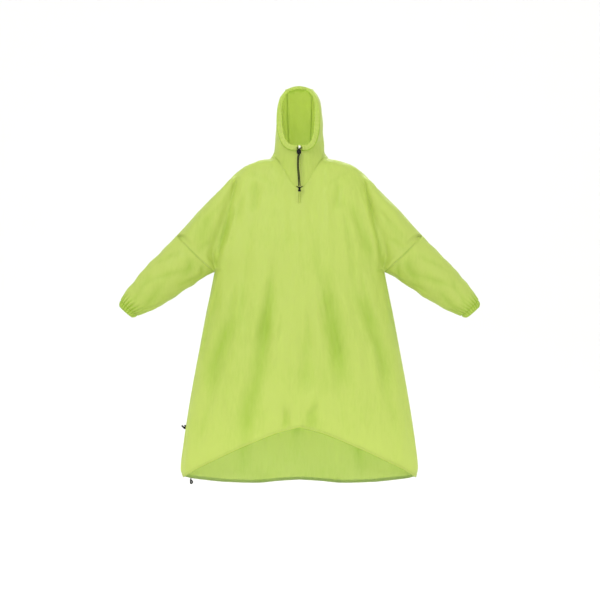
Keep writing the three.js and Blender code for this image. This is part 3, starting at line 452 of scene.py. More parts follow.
def curve_through(points, at):
    """Centripetal curve through points[n, ...] at parameters from 0 to n - 1."""
    points = np.asarray(points, float)
    padded = np.concatenate([
        [2 * points[0] - points[1]], points, [2 * points[-1] - points[-2]],
    ])
    result = []
    for t in np.atleast_1d(at):
        i = min(int(t), len(points) - 2)
        p0, p1, p2, p3 = padded[i:i + 4]
        gaps = [
            np.maximum(np.sqrt(np.linalg.norm(b - a, axis=-1, keepdims=True)), 1e-4)
            for a, b in ((p0, p1), (p1, p2), (p2, p3))
        ]
        d0, d1, d2 = gaps
        leave = ((p1 - p0) / d0 - (p2 - p0) / (d0 + d1) + (p2 - p1) / d1) * d1
        arrive = ((p2 - p1) / d1 - (p3 - p1) / (d1 + d2) + (p3 - p2) / d2) * d1
        w = t - i
        result.append(
            p1 + leave * w + (-3 * p1 + 3 * p2 - 2 * leave - arrive) * w ** 2
            + (2 * p1 - 2 * p2 + leave + arrive) * w ** 3
        )
    return np.array(result)


def hood_side_points(side, at, k):
    """Outer surface of a hood side at places between the given rows and at columns k."""
    given = [hood_row(index, side, k) for index in range(len(HOOD))]
    points = curve_through(given, at)
    points[:, 0, 0] = side * np.maximum(side * points[:, 0, 0], ZIP_SLIT_HALF)
    return points


def hood_centre_points(stations, shares):
    """Centre panel: its stations run back over the crown and then down to the nape."""
    top = len(HOOD) - 1
    corner = HOOD_LAST / 2
    inset = shares * CENTRE_INSET
    rows = []
    for s in stations:
        if s <= corner:
            at, k = top, 2 * s
        else:
            at, k = top * (1 - (s - corner) / (CENTRE_LAST - corner)), HOOD_LAST
        a, b = (hood_side_points(side, [at], np.array([k, HOOD_LAST]))[0, 0] for side in (-1, 1))
        out = np.array([0, a[1] - 5, a[2] - 130])
        out = mix(np.array([0, 0, 1]), out / np.linalg.norm(out), soft_step(0, 7, s))
        rise = mix(CENTRE_FRONT_RISE, CENTRE_RISE, soft_step(0, 5, s))
        row = mix(a, b, ((inset + 1) / 2)[:, None])
        row += out / np.linalg.norm(out) * (rise * (1 - shares ** 2))[:, None]
        if s < 1:
            degrees = 180 - (180 - FACE_TOP_ANGLE) * np.abs(inset)
            edge = face_edge(degrees, np.where(shares < 0, -1, 1))
            row = mix(edge, row, soft_step(0, 1, s))
        if s > CENTRE_LAST - 1:
            seam_k, seam_z = np.array([[HOOD_SEAM_COLUMN], [NECK_TOP_Z]], float)
            seam_x = column_x(1, seam_k, seam_z)
            nape = neckline(inset * seam_x, "back")
            row = mix(row, nape, soft_step(CENTRE_LAST - 1, CENTRE_LAST, s))
        rows.append(row)
    return np.array(rows)


# Mesh making

def spread(*stretches):
    """Parameters in even steps over stretches of (from, to, steps), joined."""
    parts = [np.linspace(a, b, n, endpoint=False) for a, b, n in stretches]
    return np.concatenate(parts + [[stretches[-1][1]]])


def grid_lengths(points):
    """Distances along the rows from the middle column, and down the columns, in mm."""
    across = np.linalg.norm(np.diff(points, axis=1), axis=2)
    down = np.linalg.norm(np.diff(points, axis=0), axis=2)
    u = np.concatenate([np.zeros((len(points), 1)), np.cumsum(across, axis=1)], 1)
    v = np.concatenate([np.zeros((1, points.shape[1])), np.cumsum(down, axis=0)], 0)
    return u - u[:, points.shape[1] // 2][:, None], v


def grid_normals(points, inside):
    """Outward unit normals of a grid of points round a middle."""
    normal = np.cross(np.gradient(points, axis=1), np.gradient(points, axis=0))
    normal /= np.maximum(np.linalg.norm(normal, axis=-1, keepdims=True), 1e-9)
    if np.sum(normal * (points - np.array(inside))) < 0:
        normal = -normal
    return normal


def row_at(grid, away, distance):
    """Row of a grid at a distance down its columns, given the distances of its points."""
    return np.array([
        [np.interp(distance, away[:, i], grid[:, i, axis]) for axis in range(3)]
        for i in range(grid.shape[1])
    ])


def new_object(name, data, materials):
    """An object in the scene that keeps to the frame's root and has a material slot."""
    obj = bpy.data.objects.new(name, data)
    bpy.context.scene.collection.objects.link(obj)
    for material in materials:
        data.materials.append(material)
    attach(obj, "root")
    return obj


def cloth(name, points, inside, materials, slot="shell_nylon", closed=False, hole=None,
          tone=None, thick=None, caps=False):
    """A thin shell on a grid of outer points: a grid moved into place, welded where it
    closes on itself, with lengths along the cloth as its UV map and a wall inwards."""
    rows, columns = points.shape[:2]
    bm = bmesh.new()
    bmesh.ops.create_grid(bm, x_segments=columns - 1, y_segments=rows - 1, size=1)
    bm.verts.ensure_lookup_table()
    flat = np.array([v.co[:2] for v in bm.verts])
    i = np.rint((flat[:, 0] + 1) / 2 * (columns - 1)).astype(int)
    j = np.rint((1 - flat[:, 1]) / 2 * (rows - 1)).astype(int)
    for vert, place in zip(bm.verts, points[j, i] * MM):
        vert.co = place
    mesh = bpy.data.meshes.new(name)
    bm.to_mesh(mesh)
    bm.free()
    u, v = grid_lengths(points)
    corner = np.zeros(len(mesh.loops), int)
    mesh.loops.foreach_get("vertex_index", corner)
    lengths = np.stack([u[j, i], v[j, i]], -1)[corner] * MM
    mesh.uv_layers.new(name="cloth").data.foreach_set("uv", lengths.ravel())
    # The tone pulls the colour toward the deep colour; it is mostly painted shade.
    shade = np.zeros((rows, columns)) if tone is None else np.clip(tone, 0, 1)
    attribute = mesh.attributes.new("tone", "FLOAT", "POINT")
    attribute.data.foreach_set("value", shade[j, i].astype(np.float32))
    bm = bmesh.new()
    bm.from_mesh(mesh)
    if hole is not None:
        gone = [f for f in bm.faces if hole(f.calc_center_median() / MM)]
        bmesh.ops.delete(bm, geom=gone, context="FACES")
    if closed:
        bmesh.ops.remove_doubles(bm, verts=bm.verts[:], dist=0.00005)
    if caps:
        bmesh.ops.holes_fill(bm, edges=bm.edges[:], sides=0)
    middle = Vector(inside) * MM
    turned = sum(f.normal.dot(f.calc_center_median() - middle) * f.calc_area() for f in bm.faces)
    if turned < 0:
        bmesh.ops.reverse_faces(bm, faces=bm.faces[:])
    for face in bm.faces:
        face.smooth = True
    bm.to_mesh(mesh)
    bm.free()
    obj = new_object(name, mesh, materials)
    if not caps:
        wall = obj.modifiers.new("wall", "SOLIDIFY")
        wall.thickness = cloth_thickness() if thick is None else thick
        wall.offset = -1
        wall.material_offset = len(materials) - 1
    return obj


def cloth_thickness():
    return bpy.context.scene.poncho_cloth.thickness


def small_mesh(name, build, materials):
    """A piece from a build function that fills a bmesh in metres."""
    bm = bmesh.new()
    build(bm)
    for face in bm.faces:
        face.smooth = True
    mesh = bpy.data.meshes.new(name)
    bm.to_mesh(mesh)
    bm.free()
    return new_object(name, mesh, materials)


def placed(x=0, y=0, z=0, turn=None, scale=(1, 1, 1)):
    """A matrix from a place and sizes in millimetres."""
    size = Matrix.Diagonal(Vector((*scale, 1)))
    turned = turn.to_matrix().to_4x4() if turn is not None else Matrix.Identity(4)
    return Matrix.Diagonal((MM, MM, MM, 1)) @ Matrix.Translation((x, y, z)) @ turned @ size


def repeated(bm, segments, rings, matrices):
    """Small rounded beads, one at each matrix, from one sphere moved and read in again."""
    one = bmesh.new()
    bmesh.ops.create_uvsphere(one, u_segments=segments, v_segments=rings, radius=1)
    bead = bpy.data.meshes.new("bead")
    one.to_mesh(bead)
    one.free()
    base = np.ones((len(bead.vertices), 4))
    base[:, :3] = [v.co for v in bead.vertices]
    for matrix in matrices:
        bead.vertices.foreach_set("co", (base @ np.array(matrix).T)[:, :3].ravel())
        bm.from_mesh(bead)
    bpy.data.meshes.remove(bead)


def spun(bm, profile, centre, steps=40):
    """Turned solid about an upright axis. The profile is (radius, height) pairs."""
    verts = [bm.verts.new((r, 0, h)) for r, h in profile]
    edges = [bm.edges.new(pair) for pair in zip(verts, verts[1:])]
    bmesh.ops.spin(
        bm, geom=verts + edges, cent=(0, 0, 0), axis=(0, 0, 1), angle=2 * math.pi,
        steps=steps, use_merge=True,
    )
    bmesh.ops.remove_doubles(bm, verts=bm.verts[:], dist=0.001)
    bmesh.ops.recalc_face_normals(bm, faces=bm.faces[:])
    bmesh.ops.transform(bm, matrix=placed(*centre), verts=bm.verts[:])


def cord_curve(name, points, radius, material):
    """A round cord on a smooth line through points in millimetres."""
    steps = np.linspace(0, len(points) - 1, 3 * len(points) + 1)
    line = curve_through(points, steps) * MM
    data = bpy.data.curves.new(name, "CURVE")
    data.dimensions = "3D"
    data.bevel_depth = radius * MM
    data.bevel_resolution = 3
    data.use_fill_caps = True
    spline = data.splines.new("POLY")
    spline.points.add(len(line) - 1)
    for point, place in zip(spline.points, line):
        point.co = (*place, 1)
    return new_object(name, data, [material]), line


# Materials

def linear(hex_colour):
    """sRGB hex as linear red, green, blue."""
    values = [int(hex_colour[i:i + 2], 16) / 255 for i in (0, 2, 4)]
    return tuple(v / 12.92 if v <= 0.04045 else ((v + 0.055) / 1.055) ** 2.4 for v in values)


def add_node(tree, kind, settings=None, inputs=None):
    """A node with its settings, and its inputs set or linked."""
    node = tree.nodes.new(kind)
    for name, value in (settings or {}).items():
        setattr(node, name, value)
    for key, value in (inputs or {}).items():
        socket = node.inputs[key]
        if isinstance(value, bpy.types.NodeSocket):
            tree.links.new(value, socket)
        else:
            socket.default_value = value
    return node


def new_material(name):
    material = bpy.data.materials.new(name)
    material.use_nodes = True
    material.node_tree.nodes.clear()
    return material, material.node_tree


def mixed_colour(tree, factor, a, b):
    node = add_node(tree, "ShaderNodeMix", {"data_type": "RGBA"})
    for index, value in ((0, factor), (6, a), (7, b)):
        socket = node.inputs[index]
        if isinstance(value, bpy.types.NodeSocket):
            tree.links.new(value, socket)
        else:
            socket.default_value = (*value, 1) if isinstance(value, tuple) else value
    return node.outputs[2]


def scalar(tree, operation, a, b=0.0):
    return add_node(tree, "ShaderNodeMath", {"operation": operation}, {0: a, 1: b}).outputs[0]


# The wave texture turns by 20 radians over a unit of its scale, so a wave is 2 pi times as
# long as its radian here. Real taffeta threads are 0.1 mm apart, too fine to show. They are
# drawn about 11 mm apart, as a very faint bump. Crinkles are about 9 mm across.
WAVE_RADIANS = 20
THREAD_RADIAN_MM = 1.8
CRINKLE_MM = 9
GRAIN_MM = 0.7


def woven_nylon(name, face, deep, through, share, roughness):
    """Plain-woven nylon with a thin silicone coat: soft sheen, a faint coarse grid, small
    crinkles that run down the cloth, and light that comes through it. Shade is painted into
    its colour from the tone attribute."""
    material, tree = new_material(name)
    coords = add_node(tree, "ShaderNodeTexCoord").outputs["Object"]
    lengths = add_node(tree, "ShaderNodeUVMap", {"uv_map": "cloth"}).outputs["UV"]
    tone = add_node(tree, "ShaderNodeAttribute", {"attribute_name": "tone"}).outputs["Fac"]
    broad = add_node(tree, "ShaderNodeTexNoise", None, {
        "Vector": coords, "Scale": 5.0, "Detail": 3.0, "Roughness": 0.5,
    }).outputs["Fac"]
    stretched = add_node(tree, "ShaderNodeMapping", None, {
        "Vector": coords, "Scale": (1000 / CRINKLE_MM, 1000 / CRINKLE_MM, 180 / CRINKLE_MM),
    }).outputs["Vector"]
    crinkle = add_node(tree, "ShaderNodeTexNoise", None, {
        "Vector": stretched, "Scale": 1.0, "Detail": 3.0, "Roughness": 0.55, "Distortion": 0.3,
    }).outputs["Fac"]
    cracks = add_node(tree, "ShaderNodeTexNoise", {"noise_type": "RIDGED_MULTIFRACTAL"}, {
        "Vector": coords, "Scale": 14.0, "Detail": 2.0, "Roughness": 0.5,
    }).outputs["Fac"]
    threads = []
    for direction in ("X", "Y"):
        wave = add_node(tree, "ShaderNodeTexWave", {"bands_direction": direction}, {
            "Vector": lengths, "Scale": 1000 / THREAD_RADIAN_MM / WAVE_RADIANS, "Distortion": 0.0,
        })
        threads.append(wave.outputs["Fac"])
    weave = scalar(tree, "MULTIPLY", threads[0], threads[1])
    # The colour and the light through it are pulled toward the deep colour by the tone attribute,
    # which is painted shade, and by clouds and streaks of random tone.
    clouds = scalar(tree, "MULTIPLY", scalar(tree, "SUBTRACT", broad, 0.5), 0.6)
    streaks = scalar(tree, "MULTIPLY", scalar(tree, "SUBTRACT", crinkle, 0.5), 0.35)
    factor = add_node(tree, "ShaderNodeMath", {"operation": "ADD", "use_clamp": True}, {
        0: tone, 1: scalar(tree, "ADD", clouds, streaks),
    }).outputs[0]
    colour = mixed_colour(tree, factor, face, deep)
    height = scalar(tree, "ADD", scalar(tree, "MULTIPLY", crinkle, 0.8),
                    scalar(tree, "MULTIPLY", cracks, 0.35))
    folds = add_node(tree, "ShaderNodeBump", None, {
        "Height": height, "Strength": 0.45, "Distance": 0.0025,
    }).outputs["Normal"]
    bump = add_node(tree, "ShaderNodeBump", None, {
        "Height": weave, "Strength": 0.12, "Distance": 0.0002, "Normal": folds,
    }).outputs["Normal"]
    gloss = add_node(tree, "ShaderNodeMapRange", None, {
        "Value": crinkle, "To Min": roughness - 0.06, "To Max": roughness + 0.08,
    }).outputs[0]
    skin = add_node(tree, "ShaderNodeBsdfPrincipled", None, {
        "Base Color": colour, "Roughness": gloss, "Normal": bump, "IOR": 1.53,
        "Sheen Weight": 0.12, "Sheen Roughness": 0.4,
    }).outputs[0]
    glow = add_node(tree, "ShaderNodeBsdfTranslucent", None, {
        "Color": mixed_colour(tree, factor, through, deep), "Normal": bump,
    }).outputs[0]
    both = add_node(tree, "ShaderNodeMixShader", None, {0: share, 1: skin, 2: glow}).outputs[0]
    add_node(tree, "ShaderNodeOutputMaterial", None, {"Surface": both})
    return material


def woven_black(name, colour, radian_mm, roughness):
    """Braided or woven polyester yarn: matt black with a crossed pattern of coarse yarns."""
    material, tree = new_material(name)
    coords = add_node(tree, "ShaderNodeTexCoord").outputs["Object"]
    yarns = []
    for slant in (0.7, -0.7):
        turned = add_node(tree, "ShaderNodeMapping", None, {
            "Vector": coords, "Rotation": (0, slant, 0),
        }).outputs["Vector"]
        yarns.append(add_node(tree, "ShaderNodeTexWave", {"bands_direction": "Z"}, {
            "Vector": turned, "Scale": 1000 / radian_mm / WAVE_RADIANS, "Distortion": 0.4,
        }).outputs["Fac"])
    height = scalar(tree, "MAXIMUM", yarns[0], yarns[1])
    bump = add_node(tree, "ShaderNodeBump", None, {
        "Height": height, "Strength": 0.5, "Distance": 0.0003,
    }).outputs["Normal"]
    # Painted light: the raised yarns are paler and the hollows between them darker.
    pale = tuple(min(1.0, c * 2 + 0.004) for c in colour)
    shade = mixed_colour(tree, scalar(tree, "MULTIPLY", height, 0.5), colour, pale)
    skin = add_node(tree, "ShaderNodeBsdfPrincipled", None, {
        "Base Color": shade, "Roughness": roughness, "Normal": bump, "Specular IOR Level": 0.15,
    }).outputs[0]
    add_node(tree, "ShaderNodeOutputMaterial", None, {"Surface": skin})
    return material


def moulded(name, colour, roughness, metallic=0.0):
    """Moulded plastic or painted die-cast metal: an even colour with a fine grain."""
    material, tree = new_material(name)
    coords = add_node(tree, "ShaderNodeTexCoord").outputs["Object"]
    grain = add_node(tree, "ShaderNodeTexNoise", None, {
        "Vector": coords, "Scale": 1000 / GRAIN_MM, "Detail": 2.0,
    }).outputs["Fac"]
    bump = add_node(tree, "ShaderNodeBump", None, {
        "Height": grain, "Strength": 0.2, "Distance": 0.0001,
    }).outputs["Normal"]
    worn = tuple(min(1.0, c * 1.5 + 0.004) for c in colour)
    shade = mixed_colour(tree, grain, colour, worn)
    gloss = add_node(tree, "ShaderNodeMapRange", None, {
        "Value": grain, "To Min": roughness - 0.05, "To Max": roughness + 0.07,
    }).outputs[0]
    skin = add_node(tree, "ShaderNodeBsdfPrincipled", None, {
        "Base Color": shade, "Roughness": gloss, "Metallic": metallic, "Normal": bump,
        "Specular IOR Level": 0.5 if metallic else 0.15,
    }).outputs[0]
    add_node(tree, "ShaderNodeOutputMaterial", None, {"Surface": skin})
    return material


MATERIALS = {}


def finish_named(key):
    """The material of that key, made at first use from the panel's colours."""
    if key in MATERIALS:
        return MATERIALS[key]
    cloth_set = bpy.context.scene.poncho_cloth
    trim = bpy.context.scene.poncho_trim
    face, deep, through = (tuple(c) for c in (cloth_set.face, cloth_set.deep, cloth_set.through))
    hem_face = tuple(mix(np.array(face), np.array(deep), 0.08))
    inside = tuple(cloth_set.inside)
    makers = {
        # Silicone-coated nylon taffeta: soft sheen, and light comes through it
        "nylon": lambda: woven_nylon("coated_nylon_taffeta", face, deep, through, 0.45, 0.5),
        # Its coated inside: paler and smoother, lit mostly by what comes through; the paler colour
        # is partly painted light that brightens the inside
        "inside": lambda: woven_nylon("coated_nylon_inside", inside, deep, inside, 0.78, 0.42),
        # Two layers at the hem: a little deeper in colour, with less light through
        "hem": lambda: woven_nylon("coated_nylon_doubled", hem_face, deep, through, 0.4, 0.5),
        # Close-woven polyester tape: duller than the cloth
        "tape": lambda: woven_nylon("zip_tape_weave", face, deep, through, 0.3, 0.65),
        # Moulded polyester coil: small even glints in the cloth's own colour
        "coil": lambda: moulded("moulded_polyester_coil", tuple(trim.coil), 0.4),
        # Die-cast zinc under pale paint: one soft highlight
        "slider": lambda: moulded("painted_zinc_slider", tuple(trim.slider), 0.35, 0.3),
        # Spun polyester thread: matt, a little deeper than the cloth
        "thread": lambda: moulded("polyester_thread", tuple(trim.thread), 0.6),
        # Braided polyester: matt black, with yarns that cross
        "cord": lambda: woven_black("braided_polyester_cord", tuple(trim.cord), 1.6, 0.7),
        # Woven polyester tape: matt black and flatter than the cord
        "webbing": lambda: woven_black("woven_polyester_tape", tuple(trim.cord), 1.4, 0.75),
        # Moulded acetal: smooth black with a dull highlight
        "plastic": lambda: moulded("moulded_acetal", tuple(trim.plastic), 0.38),
    }
    MATERIALS[key] = makers[key]()
    return MATERIALS[key]


def cloth_pair():
    """Cloth for the outer face and for the wall and inside."""
    return [finish_named("nylon"), finish_named("inside")]


# Settings that a user would change

class PonchoClothSettings(bpy.types.PropertyGroup):
    """Sizes and colours of the cloth."""
    thickness: FloatProperty(
        name="Cloth thickness", description="Wall of a single layer of cloth as drawn",
        default=0.0009, min=0.0002, max=WALL * MM, unit="LENGTH", subtype="DISTANCE")
    hem_width: FloatProperty(
        name="Hem width", description="Width of the turned hem of the body",
        default=0.013, min=0.004, max=0.04, unit="LENGTH", subtype="DISTANCE")
    stitch_length: FloatProperty(
        name="Stitch length", description="Distance from one stitch to the next",
        default=0.0042, min=0.002, max=0.01, unit="LENGTH", subtype="DISTANCE")
    face: FloatVectorProperty(
        name="Face colour", description="Outside of the cloth in even light",
        default=linear("cbd870"), size=3, min=0, max=1, subtype="COLOR")
    # Painted shade colour: the tone mixes it in at folds, creases, gathers and seams, beside the
    # face casing and on the hood's ceiling.
    deep: FloatVectorProperty(
        name="Deep colour", description="Cloth in folds, seams and gathers",
        default=linear("a8ca28"), size=3, min=0, max=1, subtype="COLOR")
    through: FloatVectorProperty(
        name="Colour of light through the cloth", description="Light that passes the cloth",
        default=linear("e0ec80"), size=3, min=0, max=1, subtype="COLOR")
    # Paler than the face colour: partly the coated inside, partly painted light that brightens the
    # inside of the hood and the back panel.
    inside: FloatVectorProperty(
        name="Inside colour", description="Coated inside of the cloth",
        default=linear("dae6b4"), size=3, min=0, max=1, subtype="COLOR")


class PonchoTrimSettings(bpy.types.PropertyGroup):
    """Colours of the zip, cords, loops and thread."""
    coil: FloatVectorProperty(
        name="Zip coil", description="Moulded coil of the zip", default=linear("ccdc78"),
        size=3, min=0, max=1, subtype="COLOR")
    slider: FloatVectorProperty(
        name="Zip slider", description="Painted slider", default=linear("e4e8d8"),
        size=3, min=0, max=1, subtype="COLOR")
    thread: FloatVectorProperty(
        name="Thread", description="Sewing thread", default=linear("b6ca5a"),
        size=3, min=0, max=1, subtype="COLOR")
    cord: FloatVectorProperty(
        name="Cord and tape", description="Drawcords and loops", default=linear("050606"),
        size=3, min=0, max=1, subtype="COLOR")
    plastic: FloatVectorProperty(
        name="Cord lock", description="Cord lock and cord end", default=linear("070707"),
        size=3, min=0, max=1, subtype="COLOR")


class PonchoStageSettings(bpy.types.PropertyGroup):
    """Camera, floor and light."""
    camera_distance: FloatProperty(
        name="Camera distance", description="From the seam plane to the camera",
        default=6.0, min=1, max=30, unit="LENGTH", subtype="DISTANCE")
    camera_height: FloatProperty(
        name="Camera height", description="Height of the camera in the frame",
        default=-0.56, min=-3, max=3, unit="LENGTH", subtype="DISTANCE")
    floor_height: FloatProperty(
        name="Floor height", description="Height of the floor below the hem",
        default=-2.3, min=-5, max=-1.4, unit="LENGTH", subtype="DISTANCE")
    floor_colour: FloatVectorProperty(
        name="Floor", description="Pale paper of the floor and backdrop",
        default=linear("f6f6f4"), size=3, min=0, max=1, subtype="COLOR")


# Pieces

class PONCHO_OT_stage(bpy.types.Operator):
    """Pale paper sweep, soft lights and the camera"""
    bl_idname = "poncho.stage"
    bl_label = "Stage"

    def execute(self, context):
        stage = context.scene.poncho_stage
        data = bpy.data.cameras.new("camera")
        data.lens = 90
        data.sensor_width = 36
        data.clip_end = 60
        camera = bpy.data.objects.new("camera", data)
        camera.location = (0.002, -stage.camera_distance, stage.camera_height)
        camera.rotation_euler = (math.pi / 2, 0, 0)
        context.scene.collection.objects.link(camera)
        context.scene.camera = camera
        self.make_sweep(stage)
        self.make_lights(context)
        context.scene.view_settings.view_transform = "Standard"
        return {"FINISHED"}

    def make_sweep(self, stage):
        """Floor that turns up into a backdrop behind the object."""
        paper, flat, radius, half_width, start_y = 26, 17.0, 2.5, 16, -13
        quarter = radius * math.pi / 2
        bm = bmesh.new()
        bmesh.ops.create_grid(bm, x_segments=2, y_segments=60, size=1)
        for vert in bm.verts:
            run = (vert.co.y + 1) / 2 * paper
            turn = min(max(run - flat, 0) / radius, math.pi / 2)
            y = min(run, flat) + radius * math.sin(turn)
            z = radius * (1 - math.cos(turn)) + max(run - flat - quarter, 0)
            vert.co = (vert.co.x * half_width, y + start_y, z + stage.floor_height)
        mesh = bpy.data.meshes.new("floor_sweep")
        for face in bm.faces:
            face.smooth = True
        bm.to_mesh(mesh)
        bm.free()
        sweep = bpy.data.objects.new("floor_sweep", mesh)
        bpy.context.scene.collection.objects.link(sweep)
        material, tree = new_material("matt_paper")
        skin = add_node(tree, "ShaderNodeBsdfPrincipled", None, {
            "Base Color": (*stage.floor_colour, 1), "Roughness": 0.9,
            "Specular IOR Level": 0.1,
        }).outputs[0]
        add_node(tree, "ShaderNodeOutputMaterial", None, {"Surface": skin})
        mesh.materials.append(material)

    def make_lights(self, context):
        """Even room light, three soft boxes on the object and one on the backdrop."""
        world = bpy.data.worlds.new("soft_room")
        world.use_nodes = True
        background = world.node_tree.nodes["Background"]
        background.inputs["Color"].default_value = (1, 1, 1, 1)
        background.inputs["Strength"].default_value = 1.0
        context.scene.world = world
        for name, place, size, watts in (
            ("key_softbox", (-1.6, -4.2, 2.6), 2.4, 94),
            ("fill_softbox", (2.8, -3.6, 0.4), 2.4, 20),
            ("back_softbox", (0.6, 3.0, 2.6), 2.6, 70),
            ("backdrop_softbox", (0, 8.0, 5.0), 5.0, 900),
        ):
            data = bpy.data.lights.new(name, "AREA")
            data.size = size
            data.energy = watts
            light = bpy.data.objects.new(name, data)
            light.location = place
            aim = Vector((0, 0, -0.5)) - Vector(place)
            light.rotation_euler = aim.to_track_quat("-Z", "Y").to_euler()
            context.scene.collection.objects.link(light)


class PONCHO_OT_cords(bpy.types.Operator):
    """Drawcords from the hood band through the cord lock to their knot and end"""
    bl_idname = "poncho.cords"
    bl_label = "Cord lock and drawcords"

    def execute(self, context):
        black = finish_named("cord")
        lock = small_mesh("toggle_lock", self.build_lock, [finish_named("plastic")])
        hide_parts("cord_lock")
        knot, _ = cord_curve("cord_knot", self.knot_line(), CORD_RADIUS * 0.95, black)
        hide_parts("drawcord_knot")
        end = small_mesh("cord_end", self.build_end, [finish_named("plastic")])
        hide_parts("drawcord_cap")
        for side, hand, route in ((-1, "left", LEFT_CORD), (1, "right", RIGHT_CORD)):
            cord, line = cord_curve(f"hood_cord_{hand}", route, CORD_RADIUS, black)
            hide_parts(f"drawcord_{hand}")
            tail, _ = cord_curve(f"cord_tail_{hand}", self.tail_line(side), CORD_RADIUS, black)
            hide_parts(f"drawcord_tail_{hand}")
        return {"FINISHED"}

    def build_lock(self, bm):
        """Round lock with a rounded barrel, a waist groove and a push button on top."""
        half, radius, hole = LOCK["high"] / 2, LOCK["radius"], LOCK["hole"]
        profile = [
            (hole, -half + 1), (hole + 0.4, -half + 0.3), (hole + 1, -half),
            (radius * 0.7, -half), (radius * 0.88, -half * 0.86), (radius * 0.98, -half * 0.6),
            (radius, -half * 0.3), (radius, half * 0.2), (radius * 0.96, half * 0.3),
            (radius * 0.93, half * 0.34), (radius * 0.93, half * 0.4),
            (radius * 0.96, half * 0.44),
            (radius * 0.98, half * 0.52), (radius * 0.9, half * 0.8), (radius * 0.72, half),
            (hole + 1, half), (hole + 0.4, half - 0.3), (hole, half - 1), (hole, -half + 1),
        ]
        spun(bm, profile, (LOCK["x"], LOCK["y"], LOCK["z"]), 48)

    def build_end(self, bm):
        """Small barrel end with rounded rims and a groove round it."""
        radius, half = CAP["radius"], CAP["high"] / 2
        profile = [
            (0, -half), (radius - 1.6, -half), (radius - 0.5, -half + 0.4),
            (radius, -half + 1.4), (radius, -0.5), (radius - 0.5, -0.2), (radius - 0.5, 0.4),
            (radius, 0.7), (radius, half - 1.4), (radius - 0.5, half - 0.4),
            (radius - 1.6, half), (0, half),
        ]
        z = KNOT["z"] - KNOT["radius"] - SEAM_GAP - half
        spun(bm, profile, (0, KNOT["y"], z), 40)

    def knot_line(self):
        """Overhand knot: a trefoil line within the knot's ball."""
        reach = (KNOT["radius"] - 1.2) / 3
        line = []
        for turn in np.linspace(0, 2 * math.pi, 25):
            x = math.sin(turn) + 2 * math.sin(2 * turn)
            z = math.cos(turn) - 2 * math.cos(2 * turn)
            y = -math.sin(3 * turn) * 1.6
            line.append((x * reach, KNOT["y"] + y * reach, KNOT["z"] + z * reach))
        return line

    def tail_line(self, side):
        """Short free end that rises from the knot."""
        rise = math.radians(TAIL_RISE)
        line = []
        for share in np.linspace(0, 1, 5):
            out = 3.2 + 9.6 * share
            lift = out * math.sin(rise) + 1.2 * share * share
            line.append((side * out * math.cos(rise), KNOT["y"], KNOT["z"] + lift))
        return line


def panel_columns():
    """Signed columns from the viewer's left edge to the right edge, close at the edges."""
    half = spread((-1, 0, 3), (0, CREASE_COLUMN, 62), (CREASE_COLUMN, 15, 20), (15, 16, 8))
    k = np.concatenate([half[::-1], half[1:]])
    side = np.concatenate([-np.ones(len(half)), np.ones(len(half) - 1)])
    return side, k


def crinkled(points, normals, fade, *waves):
    """Small crinkles that run down the cloth, each wave given by its height, its size
    across, its length and a seed. They are left out where fade is 0."""
    moved = points.copy()
    for height, size, long, seed in waves:
        places = moved.copy()
        for j in range(points.shape[0]):
            for i in range(points.shape[1]):
                x, y, z = places[j, i]
                value = noise.noise(Vector((x / size, y / size + seed, z / long)))
                moved[j, i] += normals[j, i] * (value * height)
    return mix(points, moved, fade[..., None])


def edge_fade(points):
    """1 in the middle of a panel, 0 at its outer seams."""
    u, v = grid_lengths(points)
    to_edge = np.minimum(u - u[:, :1], u[:, -1:] - u)
    to_end = np.minimum(v, v[-1:] - v)
    return soft_step(0, 40, to_edge) * soft_step(0, 30, to_end)


